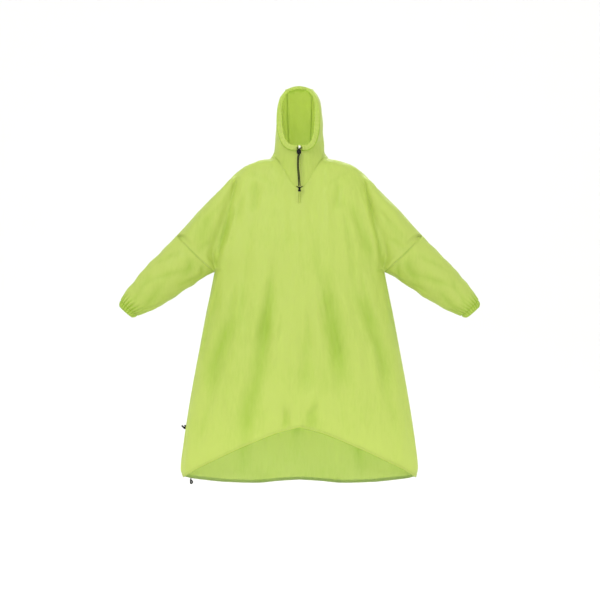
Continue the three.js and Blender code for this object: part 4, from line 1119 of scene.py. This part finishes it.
class PONCHO_OT_panels(bpy.types.Operator):
    """Front and back panels with their folds and turned hems"""
    bl_idname = "poncho.panels"
    bl_label = "Body panels"

    def execute(self, context):
        side, k = panel_columns()
        heights = spread((NECK_TOP_Z, -20, 12), (-20, -448, 76), (-448, -1240, 100),
                         (-1240, HEM_SIDE_Z, 8))
        for face, folds, hem, flat, area in (
            ("front", FRONT_FOLDS, FRONT_HEM, (1.10, 1.22), 1.05),
            ("back", BACK_FOLDS, BACK_HEM, (1.12, 1.36), 1.22),
        ):
            points = panel_points(face, folds, hem, side, k, heights)
            normals = grid_normals(points, BODY_MIDDLE)
            seed = 3 if face == "front" else 11
            points = crinkled(points, normals, edge_fade(points), (5, 46, 210, seed),
                              (1.6, 17, 60, 7))
            # Painted shade: darker in the fold troughs and along the seams.
            relief = fold_relief(folds, points[..., 0], points[..., 2])
            tone = self.seam_and_crease_shade(points) + np.clip(relief / 38, -0.12, 0.5)
            hole = self.in_slit if face == "front" else None
            panel = cloth(f"{face}_cloth", points, BODY_MIDDLE, cloth_pair(), hole=hole,
                          tone=tone)
            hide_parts(f"{face}_panel")
            hem_piece = self.make_hem(f"{face}_hem", points, context)
        return {"FINISHED"}

    def in_slit(self, centre):
        """Whether a face of the front panel lies in the slit for the zip."""
        return abs(centre.x) < ZIP_SLIT_HALF and centre.z > ZIP_BOTTOM_Z

    def seam_and_crease_shade(self, points):
        """Painted shade along the neckline, the shoulder, armhole and side seams, much darker at
        the armhole near the armpit, where a crease falls in shade.
        """
        u, v = grid_lengths(points)
        to_edge = np.minimum(u - u[:, :1], u[:, -1:] - u)
        # Painted shade of the armpit crease: strongest at the armhole near the armpit.
        drawn = 0.02 + 0.4 * bell(points[..., 2] + 368, 22)
        return drawn * bell(to_edge, 5) + 0.03 * bell(v, 4)

    def make_hem(self, name, points, context):
        """Turned hem: a low doubled strip along the lower edge, with a rolled edge."""
        width = context.scene.poncho_cloth.hem_width / MM
        _, v = grid_lengths(points)
        up = (v[-1:] - v)[::-1]
        base, out = points[::-1], grid_normals(points, BODY_MIDDLE)[::-1]
        across = [(0, -0.8), (0, 0.3), (0.1, 0.5), (0.3, 0.5), (0.6, 0.4), (0.85, 0.3),
                  (0.97, 0.2), (1.0, 0.02)]
        rows = [row_at(base, up, share * width) + row_at(out, up, share * width) * lift
                for share, lift in across]
        tone = np.full((len(rows), points.shape[1]), 0.05)
        tone[:2] = 0.9 if "front" in name else 0.35
        tone[2] = tone[0, 0] / 2
        return cloth(name, np.array(rows), BODY_MIDDLE, [finish_named("hem")], tone=tone,
                     thick=0.0004)


def sleeve_middle(side):
    return (side * 530, 0, -463)


class PONCHO_OT_sleeves(bpy.types.Operator):
    """Sleeves with their creases and the gathered cuffs"""
    bl_idname = "poncho.sleeves"
    bl_label = "Sleeves and cuffs"

    def execute(self, context):
        for side, hand in ((-1, "left"), (1, "right")):
            points, tone = self.sleeve(side)
            sleeve = cloth(f"sleeve_cloth_{hand}", points, sleeve_middle(side), cloth_pair(),
                           closed=True, tone=tone)
            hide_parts(f"sleeve_{hand}")
            points, tone = self.cuff(side)
            middle = (side * 690, 0, -596)
            cuff = cloth(f"cuff_cloth_{hand}", points, middle, cloth_pair(), closed=True,
                         tone=tone)
            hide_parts(f"cuff_{hand}")
        return {"FINISHED"}

    def gathers(self, angle, shift):
        """Uneven wave of the gathers round the cuff, from -1 to 1."""
        drift = 0.9 * np.sin(3 * angle + shift) + 0.5 * np.sin(5 * angle)
        wave = np.cos(CUFF_GATHERS * angle + drift)
        return wave * (0.75 + 0.25 * np.sin(2 * angle + shift))

    def sleeve(self, side):
        at = spread((0, 0.25, 6), (0.25, 5, 66), (5, 6, 26))
        angle = np.linspace(0, 2 * math.pi, 161)[None, :]
        rows = at[:, None]
        grow = np.zeros((len(at), angle.shape[1]))
        for fold in SLEEVE_FOLDS:
            centre = math.radians(fold["angle"] - (8 if side < 0 else 0))
            along = rows - fold["ring"] - side * 0.15
            off = angle - centre - math.radians(fold["slope"]) * along
            off = (off + math.pi) % (2 * math.pi) - math.pi
            share = off / math.radians(fold["width"])
            shape = 0.75 * bell(share, 1) + 0.3 * crease(share / 0.3)
            grow -= fold["deep"] * bell(along, fold["long"]) * shape
        ends = soft_step(0, 0.7, rows) * (1 - soft_step(5.3, 6, rows))
        grow *= ends
        near_cuff = soft_step(4.6, 6, rows) ** 2
        wave = self.gathers(angle, side)
        grow += near_cuff * 2.6 * wave
        points = ring_points(SLEEVE, side, at, angle, grow)
        normals = grid_normals(points, sleeve_middle(side))
        points = crinkled(points, normals, ends, (3.2, 34, 46, 5))
        points[0] -= normals[0] * 0.5 + np.array([side * 1.6, 0, -1.6])
        points[:, -1] = points[:, 0]
        # Painted shade: a dark line at the armhole seam on the front of the sleeve, darker in the
        # creases' troughs and in the gathers near the cuff.
        drawn = 0.02 + 0.4 * bell(np.cos(angle) + 0.1, 0.3) * (np.sin(angle) > 0)
        tone = drawn * bell(rows, 0.09) + np.clip(-grow / 16, -0.1, 0.45)
        return points, tone + near_cuff * (0.3 + 0.5 * np.clip(-wave, 0, 1))

    def cuff(self, side):
        at = spread((0, 0.3, 6), (0.3, 1.8, 14), (1.8, 2, 5))
        angle = np.linspace(0, 2 * math.pi, 325)[None, :]
        rows = at[:, None]
        puff = np.sin(np.clip((rows - 0.2) / 1.75, 0, 1) * math.pi)
        wave = self.gathers(angle, side)
        grow = 2.4 * wave * (0.6 + 0.4 * puff) + 0.8 * puff - 0.6 * bell(rows - 0.2, 0.1)
        grow = grow - 1.6 - 1.2 * soft_step(1.85, 2, rows)
        points = ring_points(CUFF, side, at, angle, grow)
        points[0, :, 0] += side * 2 * SEAM_GAP
        points[:, -1] = points[:, 0]
        # Painted shade: darker all over the gathered cuff, most in the gathers' troughs, at its
        # seam with the sleeve and at its open end.
        tone = 0.35 + 0.6 * np.clip(-wave, 0, 1) + 0.3 * bell(rows - 0.2, 0.12)
        return points, tone + 0.4 * soft_step(1.8, 2, rows)


class PONCHO_OT_hood(bpy.types.Operator):
    """Hood sides, the centre panel over the crown, and the casing round the face"""
    bl_idname = "poncho.hood"
    bl_label = "Hood"

    def execute(self, context):
        top = len(HOOD) - 1
        k = spread((0, 1, 6), (1, 26, 84), (26, 27, 6))
        at = spread((0, 0.4, 6), (0.4, top - 0.3, 74), (top - 0.3, top, 5))
        for side, hand in ((-1, "left"), (1, "right")):
            points = hood_side_points(side, at, k)
            points[..., 2] += 0.4 * (1 - soft_step(0, 0.3, at))[:, None]
            normals = grid_normals(points, HOOD_MIDDLE)
            points = crinkled(points, normals, edge_fade(points), (3.6, 38, 60, 2))
            u, v = grid_lengths(points)
            to_seam = np.minimum(u[:, -1:] - u, v[-1:] - v)
            # Painted shade along the seams and the neckline, and a dark strip beside the face
            # casing from the chin up the lower sides of the opening.
            tone = 0.12 * bell(to_seam, 4) + 0.06 * bell(v, 4)
            lower = soft_step(15, 30, points[..., 2]) * (1 - soft_step(70, 150, points[..., 2]))
            tone += 0.9 * lower * bell(u - u[:, :1], 6)
            panel = cloth(f"hood_cloth_{hand}", points, HOOD_MIDDLE, cloth_pair(), tone=tone)
            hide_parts(f"hood_side_{hand}")
        stations = spread((0, 2, 10), (2, CENTRE_LAST - 1, 90), (CENTRE_LAST - 1, CENTRE_LAST, 6))
        shares = spread((-1.05, -1, 2), (-1, 1, 40), (1, 1.05, 2))
        points = hood_centre_points(stations, shares)
        normals = grid_normals(points, CROWN_MIDDLE)
        points += normals * 0.7 * soft_step(0.9, 1, np.abs(shares))[None, :, None]
        points = crinkled(points, normals, edge_fade(points), (3, 36, 50, 9))
        u, v = grid_lengths(points)
        to_seam = np.minimum(u - u[:, :1], u[:, -1:] - u)
        # Painted shadow on the hood's ceiling over about the first 200 mm back from the face
        # opening, with a ragged edge, and painted shade along the seams.
        ceiling_shadow_edge = 200 + 9 * np.sin(shares * 9)[None, :] + 6 * np.sin(shares * 23)[None, :]
        tone = 0.12 * bell(to_seam, 4) + 0.3 * (1 - soft_step(-14, 10, v - ceiling_shadow_edge))
        centre = cloth("hood_cloth_centre", points, CROWN_MIDDLE, cloth_pair(), tone=tone)
        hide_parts("hood_centre")
        self.make_band()
        return {"FINISHED"}

    def make_band(self):
        """Flat casing with soft edges and small puckers where the cord draws it in, with shade
        painted at its seam, its inner edge, its puckers and over its top.
        """
        turns = np.linspace(BAND_START, 360 - BAND_START, 349)
        section = np.linspace(0, 2 * math.pi, 25)
        points = []
        tone = []
        for turn in turns:
            side = 1 if turn <= 180 else -1
            degrees = turn if turn <= 180 else 360 - turn
            outer = face_edge(degrees, side)
            width = mix(BAND_LOW_WIDTH, BAND_TOP_WIDTH, soft_step(70, 165, degrees))
            middle = np.array([FACE_SHIFT * 0.5, outer[1], FACE_MID_Z])
            inward = (middle - outer) / np.array([FACE_HALF_X, 1, FACE_HALF_Z])
            inward[1] = 0
            inward /= np.linalg.norm(inward)
            pucker = math.sin(turn * 0.9 + 2 * math.sin(turn * 0.21))
            drawn = 1 - 0.6 * float(soft_step(40, 120, degrees))
            edge = width + 0.9 * pucker * (1 + soft_step(120, 165, degrees))
            seam = 1 - float(soft_step(60, 115, degrees))
            row, shades = [], []
            for angle in section:
                c, s = math.cos(angle), math.sin(angle)
                across = edge / 2 - edge / 2 * math.copysign(abs(c) ** 0.5, c)
                thick = BAND_THICK / 2 * (1 + 0.12 * pucker * drawn)
                ahead = BAND_GAP + BAND_THICK / 2 + thick * math.copysign(abs(s) ** 0.6, s)
                row.append(outer + inward * across + np.array([0, -ahead, 0]))
                # Painted shade: a dark line at the seam low down and at the inner edge, along the
                # puckers, and over the top of the casing, which faces down.
                shades.append(0.05 + seam * bell(across, 2.5) + 0.2 * bell(edge - across, 2.5)
                              + 0.12 * pucker * drawn + 0.5 * (1 - drawn))
            points.append(row)
            tone.append(shades)
        points = np.array(points)
        points[:, -1] = points[:, 0]
        band = cloth("face_casing", points, CASING_MIDDLE, [finish_named("nylon")],
                     closed=True, tone=np.array(tone), caps=True)
        self.turn_outwards(band)
        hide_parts("face_band")

    def turn_outwards(self, obj):
        """Turns the faces of a closed piece outwards."""
        bm = bmesh.new()
        bm.from_mesh(obj.data)
        bmesh.ops.recalc_face_normals(bm, faces=bm.faces[:])
        bm.to_mesh(obj.data)
        bm.free()


def zip_line(at):
    """Depth of the cloth at the middle front at heights from the zip's foot to its top."""
    rows = [(z, -float(body_depth(np.array([0.0]), np.array([float(z)]), "front", FRONT_FOLDS)[0]))
            for z in (TAPE_FOOT_Z, -176, -158, -140, -124)]
    rows += [(row["front_z"], row["front_y"]) for row in HOOD[1:4]]
    rows.append((ZIP_TOP_Z, ZIP_TOP_Y))
    return np.interp(at, [r[0] for r in rows], [r[1] for r in rows])


class PONCHO_OT_zip(bpy.types.Operator):
    """Half zip: tape behind the slit, coil and slider"""
    bl_idname = "poncho.zip"
    bl_label = "Zip"

    def execute(self, context):
        z = np.linspace(ZIP_TOP_Z, TAPE_FOOT_Z, 90)
        x = np.linspace(-TAPE_HALF, TAPE_HALF, 17)
        y = zip_line(z)[:, None] + TAPE_BEHIND + 0.011 * x[None, :] ** 2
        points = np.stack([x[None, :] + 0 * y, y, z[:, None] + 0 * y], -1)
        tape = cloth("zip_tape_cloth", points, (0, 0, -60), [finish_named("tape")],
                     slot="zip_tape", thick=0.0008)
        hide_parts("zip_tape")
        coil = small_mesh("zip_teeth", self.build_teeth, [finish_named("coil")])
        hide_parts("zip_coil")
        slider = small_mesh("zip_pull_slider", self.build_slider, [finish_named("slider")])
        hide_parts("zip_slider")
        return {"FINISHED"}

    def build_teeth(self, bm):
        """Two rows of coil loops that meet in the middle, half a pitch apart."""
        count = int((ZIP_TOP_Z - 4 - COIL_FOOT_Z) / TOOTH_PITCH)
        places = []
        for n in range(2 * count):
            side = -1 if n % 2 else 1
            z = COIL_FOOT_Z + n * TOOTH_PITCH / 2
            y = float(zip_line(z)) + TAPE_BEHIND - SEAM_GAP - 1
            places.append(placed(side * 1.1, y, z, None, (1.7, 0.95, 0.62)))
        repeated(bm, 8, 4, places)

    def build_slider(self, bm):
        """Slider body: a rounded plate that widens upwards, with its bridge."""
        y = ZIP_TOP_Y + TAPE_BEHIND - 2 * SEAM_GAP - 2 - 1.7
        bmesh.ops.create_cube(bm, size=1, matrix=placed(0, y, SLIDER_Z, None, (9, 3.2, 12)))
        for vert in bm.verts:
            if vert.co.z < SLIDER_Z * MM:
                vert.co.x *= 0.62
        bmesh.ops.bevel(bm, geom=bm.edges[:], offset=0.0009, segments=3, profile=0.5,
                        material=-1, affect="EDGES")
        bridge = bmesh.ops.create_cube(
            bm, size=1, matrix=placed(0, y - 1.8, SLIDER_Z, None, (2.6, 1.8, 8)))
        edges = list({e for v in bridge["verts"] for e in v.link_edges})
        bmesh.ops.bevel(bm, geom=edges, offset=0.0005, segments=2, profile=0.5,
                        material=-1, affect="EDGES")


class PONCHO_OT_loops(bpy.types.Operator):
    """Black tape loops at the left side seam and under the back hem"""
    bl_idname = "poncho.loops"
    bl_label = "Tape loops"

    def execute(self, context):
        seam = float(body_edge(np.array([-1067.0]))[0])
        x, z = -seam - 3.4, -1074
        fold = [(x - 13.6, z + 12.2), (x - 8.5, z + 7.4), (x - 3.6, z + 2.4), (x - 1.2, z + 0.6),
                (x + 0.4, z + 3), (x + 0.5, z + 8.5), (x - 0.4, z + 14.4)]
        side_loop = self.ribbon("side_tape_loop", fold, 0, 6.4)
        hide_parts("side_loop")
        hem_x = 440
        hem_z = float(smooth_value(BACK_HEM, "x", "z", np.array([hem_x]))[0]) - 0.5
        y = float(body_depth(np.array([float(hem_x)]), np.array([hem_z]), "back", BACK_FOLDS)[0])
        dee = [(x - hem_x, hem_z - down) for x, down in (
            (-0.6, 0.5), (-1.4, 8), (-1.4, 17), (-0.2, 21), (3.4, 19.4), (6, 15.6), (4.6, 11.6),
            (1.4, 8))]
        hem_loop = self.ribbon("hem_tape_loop", dee, y - 1.5, 5.4)
        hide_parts("hem_loop")
        return {"FINISHED"}

    def ribbon(self, name, line, y, width):
        """Narrow woven tape that follows a line in the front view."""
        points = np.array([(x, y, z) for x, z in line], float)
        path = curve_through(points, np.linspace(0, len(points) - 1, 6 * len(points)))
        along = np.gradient(path, axis=0)
        along /= np.linalg.norm(along, axis=1, keepdims=True)
        across = np.stack([along[:, 2], 0 * along[:, 0], -along[:, 0]], -1)
        rows = [path + across * (share * width / 2)
                + np.array([0, 0.5 * math.cos(share * 1.2), 0]) for share in np.linspace(-1, 1, 7)]
        points = np.array(rows)
        return cloth(name, points, (points[..., 0].mean(), y + 60, points[..., 2].mean()),
                     [finish_named("webbing")], slot="black_tape", thick=0.0012)


class PONCHO_OT_stitching(bpy.types.Operator):
    """Rows of lockstitch along the seams, hems and zip, joined in one piece"""
    bl_idname = "poncho.stitching"
    bl_label = "Stitching"

    def execute(self, context):
        pitch = context.scene.poncho_cloth.stitch_length / MM
        paths = self.paths()

        def build(bm):
            for line, normals in paths:
                self.sew(bm, line, normals, pitch)

        small_mesh("seam_stitches", build, [finish_named("thread")])
        return {"FINISHED"}

    def paths(self):
        side, k = panel_columns()
        heights = spread((NECK_TOP_Z, -448, 90), (-448, HEM_SIDE_Z, 90))
        front = panel_points("front", FRONT_FOLDS, FRONT_HEM, side, k, heights)
        back = panel_points("back", BACK_FOLDS, BACK_HEM, side, k, heights)
        paths = [self.along_end(panel[::-1], BODY_MIDDLE, 11.5, 1.4) for panel in (front, back)]
        for hand in (-1, 1):
            hood = hood_side_points(hand, np.linspace(0, len(HOOD) - 1, 90), spread((0, 27, 81)))
            paths.append(self.along_end(hood, HOOD_MIDDLE, 3.0, 0.4))
            paths.append(self.along_end(np.swapaxes(hood, 0, 1)[::-1], HOOD_MIDDLE, 4.0, 0.4))
            paths.append(self.beside_zip(hood, hand * STITCH_FROM_ZIP))
            at = np.linspace(0, 1, 30)
            angle = np.linspace(0, 2 * math.pi, 121)[None, :]
            ring = ring_points(SLEEVE, hand, at, angle, 0 * at[:, None] * angle)
            paths.append(self.along_end(ring, sleeve_middle(hand), 4.5, 0.5))
        return paths

    def along_end(self, points, inside, distance, lift):
        """A line on a grid at a distance from its first row."""
        _, away = grid_lengths(points)
        out = row_at(grid_normals(points, inside), away, distance)
        return row_at(points, away, distance) + out * lift, out

    def beside_zip(self, hood, x):
        """A line beside the zip, on the front panel and on up the hood."""
        line = []
        for z in np.arange(-184, -112, 2.0):
            depth = body_depth(np.array([x]), np.array([z]), "front", FRONT_FOLDS)[0]
            line.append((x, -depth - 0.5, z))
        for row in hood[3:]:
            order = np.argsort(np.abs(row[:18, 0]))
            xs = np.abs(row[:18, 0])[order]
            if xs[0] > abs(x):
                continue
            y = np.interp(abs(x), xs, row[:18, 1][order])
            z = np.interp(abs(x), xs, row[:18, 2][order])
            if z > line[-1][2] + 0.5 and z < 52:
                line.append((x, y - 0.5, z))
        line = np.array(line)
        return line, np.tile([0.0, -1.0, 0.0], (len(line), 1))

    def sew(self, bm, line, normals, pitch):
        """Stitches along a line, each a small bead of thread that sits on the cloth."""
        lengths = np.concatenate([[0], np.cumsum(np.linalg.norm(np.diff(line, axis=0), axis=1))])
        places = []
        for s in np.arange(pitch, lengths[-1] - pitch, pitch):
            place = [np.interp(s, lengths, line[:, axis]) for axis in range(3)]
            ahead = [np.interp(s + 1, lengths, line[:, axis]) for axis in range(3)]
            along = (Vector(ahead) - Vector(place)).normalized()
            turn = along.to_track_quat("X", "Z")
            places.append(placed(*place, turn, (pitch * 0.36, 0.45, 0.45)))
        repeated(bm, 6, 4, places)


class PONCHO_PT_panel(bpy.types.Panel):
    """Sizes, colours and steps of the poncho"""
    bl_idname = "PONCHO_PT_panel"
    bl_label = "Rain poncho"
    bl_space_type = "VIEW_3D"
    bl_region_type = "UI"
    bl_category = "Poncho"

    def draw(self, context):
        for settings in ("poncho_cloth", "poncho_trim", "poncho_stage"):
            box = self.layout.box()
            group = getattr(context.scene, settings)
            for name in group.__annotations__:
                box.prop(group, name)
        for operator in OPERATORS:
            self.layout.operator(operator.bl_idname)


OPERATORS = (
    PONCHO_OT_stage, PONCHO_OT_cords, PONCHO_OT_panels, PONCHO_OT_sleeves, PONCHO_OT_hood,
    PONCHO_OT_zip, PONCHO_OT_loops, PONCHO_OT_stitching,
)
SETTINGS = {
    "poncho_cloth": PonchoClothSettings,
    "poncho_trim": PonchoTrimSettings,
    "poncho_stage": PonchoStageSettings,
}


def register():
    for group in SETTINGS.values():
        bpy.utils.register_class(group)
    for name, group in SETTINGS.items():
        setattr(bpy.types.Scene, name, PointerProperty(type=group))
    for shown in (*OPERATORS, PONCHO_PT_panel):
        bpy.utils.register_class(shown)


def unregister():
    for shown in (PONCHO_PT_panel, *reversed(OPERATORS)):
        bpy.utils.unregister_class(shown)
    for name, group in SETTINGS.items():
        delattr(bpy.types.Scene, name)
        bpy.utils.unregister_class(group)


def main():
    register()
    bpy.ops.poncho.stage()
    bpy.ops.poncho.cords()
    bpy.ops.poncho.panels()
    bpy.ops.poncho.sleeves()
    bpy.ops.poncho.hood()
    bpy.ops.poncho.zip()
    bpy.ops.poncho.loops()
    bpy.ops.poncho.stitching()


if __name__ == "__main__":
    main()
